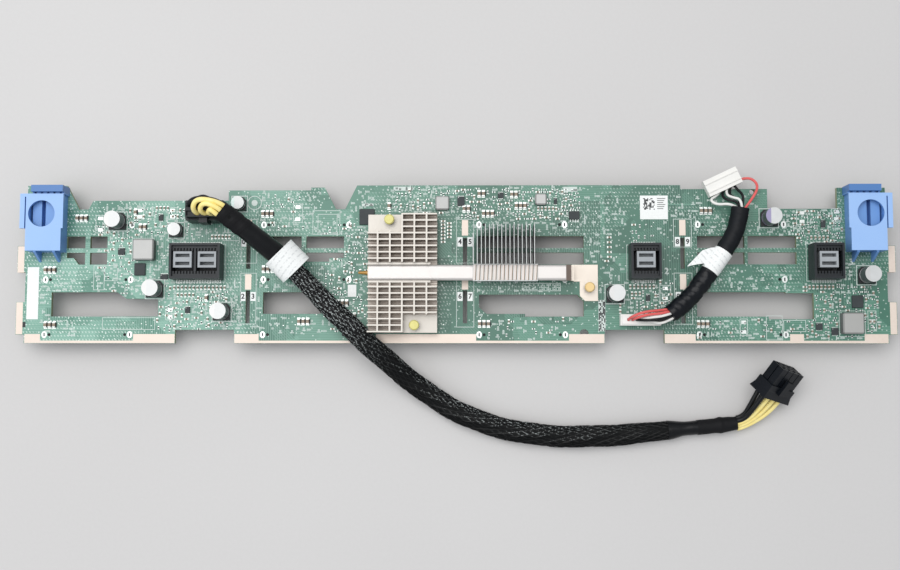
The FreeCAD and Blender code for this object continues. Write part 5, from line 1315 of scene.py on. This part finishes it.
ports = ("dual_port_housing", "port_housing_1", "port_housing_2")
port_plastic = moulded("port_plastic", "14171b", "2a2f34", 0.42)
wafer_plastic = moulded("wafer_plastic", "868b8f", "b0b5b9", 0.45)
show(port_plastic, *ports)
show(wafer_plastic, "dual_port_wafer_1", "dual_port_wafer_2", "port_wafer_1", "port_wafer_2")
feet = []
foot_step = 0.8
for name in ports:
    x0, x1, y0, y1 = footprint(name)
    feet += side_spots(name, int((x1 - x0 - 2.0) / foot_step), foot_step, 0.75)
foot = join([block(-0.17, 0.17, -0.8, 0.0, -0.01, 0.14, 0.04), block(-0.17, 0.17, 0.0, 0.8, 0.1, 0.55, 0.05)])
fix(copies(foot, feet), "port_feet", tin)
leg = join([block(-0.2, 0.2, -0.6, 0.1, -0.01, 0.18, 0.05), block(-0.2, 0.2, 0.0, 0.5, 0.1, 0.8, 0.06)])
fix(copies(leg, side_spots("memory_chip", 4, pin_step, 0.45)), "memory_legs", tin)
show(package, "expander_chip", "regulator_chip_1", "regulator_chip_2", "controller_chip", "memory_chip")

# ---------------------------------------------------------------- cooling of the expander chip
# A cast sink with crossed fins sits on the chip over a soft pad, held by two sprung push pins.
# A flat nickel-plated heat pipe runs from it through a stack of thin fins to a sheet bracket.


def cast_aluminium():
    """The ears are bright and the fin walls are painted a darker brownish grey as shade; the grooves between
    the fins keep the lines of the cutting tool.
    """
    finish = Finish("cast_aluminium", "cfcac4", 0.42, Metallic=0.3)
    grain = finish.noise(0.6, 4.0)
    drift = finish.noise(16, 2.0)
    height = finish.axis("Z")
    flat = finish.facing("Z").over(0.7, 0.2)
    bright = finish.blend(grain * 0.4 + drift * 0.6, "bab5ad", "cec9c1")
    lines = (finish.axis("Y") * 0.95).maths("FRACT").within(0.25, 0.75, 0.3)
    groove = finish.blend(lines, "a89d94", "ddd5cb")
    x, y = finish.axis("X"), finish.axis("Y")
    ears = (x.under(-24.9) * y.over(15.2) + x.over(-24.9) * y.under(-25.2)).maths("MINIMUM", 1.0)
    low = height.under(19.0, 0.4) * (1 - ears)
    # Faces that do not look up get painted shade, a darker brownish grey.
    colour = finish.blend(flat, "b2a99f", bright)
    colour = finish.blend(low, colour, groove)
    return finish.done(colour, grain * 0.25 + low * 0.2 + 0.3, grain * 0.5 + lines * low, 0.06, 0.5)


def nickel_plate(name, dark, light, ends=False, steps=False):
    finish = Finish(name, light, 0.35, Metallic=0.3)
    drift = finish.noise(20, 2.0)
    scuff = finish.noise(1.0, 5.0)
    colour = finish.blend(drift * 0.6 + scuff * 0.4, dark, light)
    if ends:
        # The filling tail is bare brass, and the crimped end is painted dark brown-grey as the shade on its
        # slope.
        x = finish.axis("X")
        colour = finish.blend(x.under(-41.8, 0.8), colour, "a87f3d")
        colour = finish.blend(x.over(53.8, 0.3), colour, "7d6f66")
    if steps:
        # The sloping end of each hem, which faces east, is painted brown as shade.
        colour = finish.blend(finish.facing("X").over(0.35, 0.1), colour, "a38f7b")
    return finish.done(colour, scuff * 0.25 + 0.25, scuff, 0.02, 0.4)


def stamped_sheet():
    """Thin fins and springs are pale metal on their cut edges and painted dark grey down their faces, as
    shade.
    """
    finish = Finish("stamped_sheet", "b9bcbc", 0.34, Metallic=0.6)
    drift = finish.noise(5.0, 3.0)
    edge = finish.facing("X").maths("ABSOLUTE").under(0.5, 0.2)
    # Faces turned along X are painted dark grey as shade; the other faces keep a pale metal grey.
    face = finish.blend(drift, "2b2f31", "414547")
    rim = finish.blend(drift, "939696", "b2b4b4")
    return finish.done(finish.blend(edge, face, rim), drift * 0.2 + 0.28)


def yellow_nylon():
    finish = Finish("yellow_nylon", "efe27c", 0.42)
    drift = finish.noise(1.5, 3.0)
    amber = finish.axis("X").over(40, 4.0)
    pale = finish.blend(drift, "cfc667", "e6de96")
    return finish.done(finish.blend(amber, pale, "e8c88b"), drift * 0.2 + 0.35, drift, 0.03, 0.3)


show(cast_aluminium(), "heatsink")
show(nickel_plate("pipe_plate", "c4c0bd", "d6d2cf", ends=True), "heat_pipe")
show(nickel_plate("bracket_plate", "cbc0b3", "dcd3c8"), "pipe_bracket")
show(stamped_sheet(), "fin_stack")
show(clouded("soft_pad", "7f8186", "a0a2a7", 0.5, 4.0, 0.8, sway=0, depth=0.05, strength=0.6), "thermal_pad")
show(yellow_nylon(), "push_pins")
show(stamped_sheet(), "push_pin_springs")

# Each stack fin is hemmed round the pipe, and the hems overlap like slates.
stack_west = footprint("fin_stack")[0]
pipe_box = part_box("heat_pipe")
rail_y = -4.9
hem_top = pipe_box[1][2] / MM + 0.35
fin_step = 1.96
hems = []
for k in range(16):
    x = stack_west + 0.2 + k * fin_step
    hem = block(x, x + 1.55, rail_y - 3.75, rail_y + 3.75, hem_top - 0.1, hem_top + 0.12, 0.08)
    for v in hem.data.vertices:
        if v.co.x > (x + 0.8) * MM and v.co.z > hem_top * MM:
            v.co.z += 0.0004
            v.co.x -= 0.0004
        v.co.x += (v.co.y / MM - rail_y) * 0.00004
    hems.append(hem)
hem_plate = nickel_plate("hem_plate", "cdc2ba", "ded8d2", steps=True)
fix(join(hems), "fin_hems", hem_plate)

# ---------------------------------------------------------------- latches
# Each end has a blue moulded latch that snaps into the chassis; a fingertip in its hole frees it.


def blue_latch():
    finish = Finish("blue_latch", "74a7e2", 0.38)
    drift = finish.noise(30, 2.0)
    grain = finish.noise(0.5, 4.0)
    # Faces that look up on top are painted light blue as lit, and the side walls a darker blue as painted
    # shade, darkest at the north end.
    lit_top = finish.blend(drift * 0.7 + grain * 0.3, "86aee6", "a3c4ee")
    front = finish.facing("Z").over(0.7, 0.3) * finish.axis("Z").over(board_top + 8.8, 0.4)
    front = front * finish.axis("Y").under(34.0, 0.5)
    sides = finish.blend(finish.axis("Y").over(34.0, 0.5), "6796d3", "4a78b4")
    return finish.done(finish.blend(front, sides, lit_top), grain * 0.2 + 0.3, grain, 0.03, 0.4)


show(blue_latch(), "latch_left", "latch_right")

# ---------------------------------------------------------------- capacitors and inductors
# Electrolytic capacitors are drawn aluminium cans crimped over a black moulded base.
# The inductors are pressed from grey iron powder round their coils.


def aluminium_can(name, centre_x, tint):
    """Part of the can's top is printed; up to its crimp it stands in a black moulded base."""
    finish = Finish(name, "dfe1e0", 0.35, Metallic=0.3)
    drift = finish.noise(4.0, 3.0)
    top = finish.facing("Z").over(0.6, 0.2)
    bright = finish.blend(drift, "bec0c0", "d1d3d2")
    # The can's sides are painted dark grey below its bright top, a painted dark reflection.
    colour = finish.blend(top, "5c6163", bright)
    segment = (finish.axis("X") - centre_x).under(-1.5, 0.2) * top
    colour = finish.blend(segment * 0.8, colour, tint)
    base = finish.axis("Z").under(board_top + 1.4, 0.05)
    finish.set("Base Color", finish.blend(base, colour, "1b1d1f"))
    finish.set("Metallic", (1 - base) * (0.55 - top * 0.35))
    finish.set("Roughness", drift * 0.2 + base * 0.2 + 0.25)
    finish.bump(drift, 0.04, 0.3)
    return finish.material


for k, tint in enumerate(("cfcfcd", "d3d5d3", "cfcfcd", "d1d1cf", "bfd2ce", "c9c9c8", "8278a6", "c4c4c2"), 1):
    x0, x1, y0, y1 = footprint(f"capacitor_{k}")
    show(aluminium_can(f"can_{k}", (x0 + x1) / 2, tint), f"capacitor_{k}")


def pressed_powder():
    finish = Finish("pressed_powder", "a9a9a6", 0.6)
    grain = finish.noise(0.5, 5.0)
    drift = finish.noise(7.0, 2.0)
    # The sides are painted dark grey as shade below the light tops; east of x=150 the tops are darker.
    top = finish.facing("Z").over(0.7, 0.2)
    face = finish.blend(grain * 0.5 + drift * 0.5, "b4b4b2", "cfcfcc")
    face = finish.blend(finish.axis("X").over(150, 5.0) * 0.6, face, "8b8b88")
    return finish.done(finish.blend(top, "6e6f6e", face), grain * 0.2 + 0.5, grain, 0.06, 0.6)


show(pressed_powder(), "inductor_1", "inductor_2", "inductor_3", "inductor_4")

# ---------------------------------------------------------------- plugs and cable labels
# The power plugs and their header are black nylon, the signal ones are white.
# A folded paper band marks each cable.

black_nylon = moulded("black_nylon", "05080d", "10151d", 0.38)
white_nylon = moulded("white_nylon", "dddcd7", "f3f2ee", 0.4)
show(black_nylon, "power_header", "power_plug_near", "power_plug_far")
show(white_nylon, "signal_header", "signal_plug_near", "signal_plug_far")
show(label_paper("power_paper", (0.73, -0.62)), "power_label")
show(label_paper("signal_paper", (0.75, 0.66)), "signal_label")
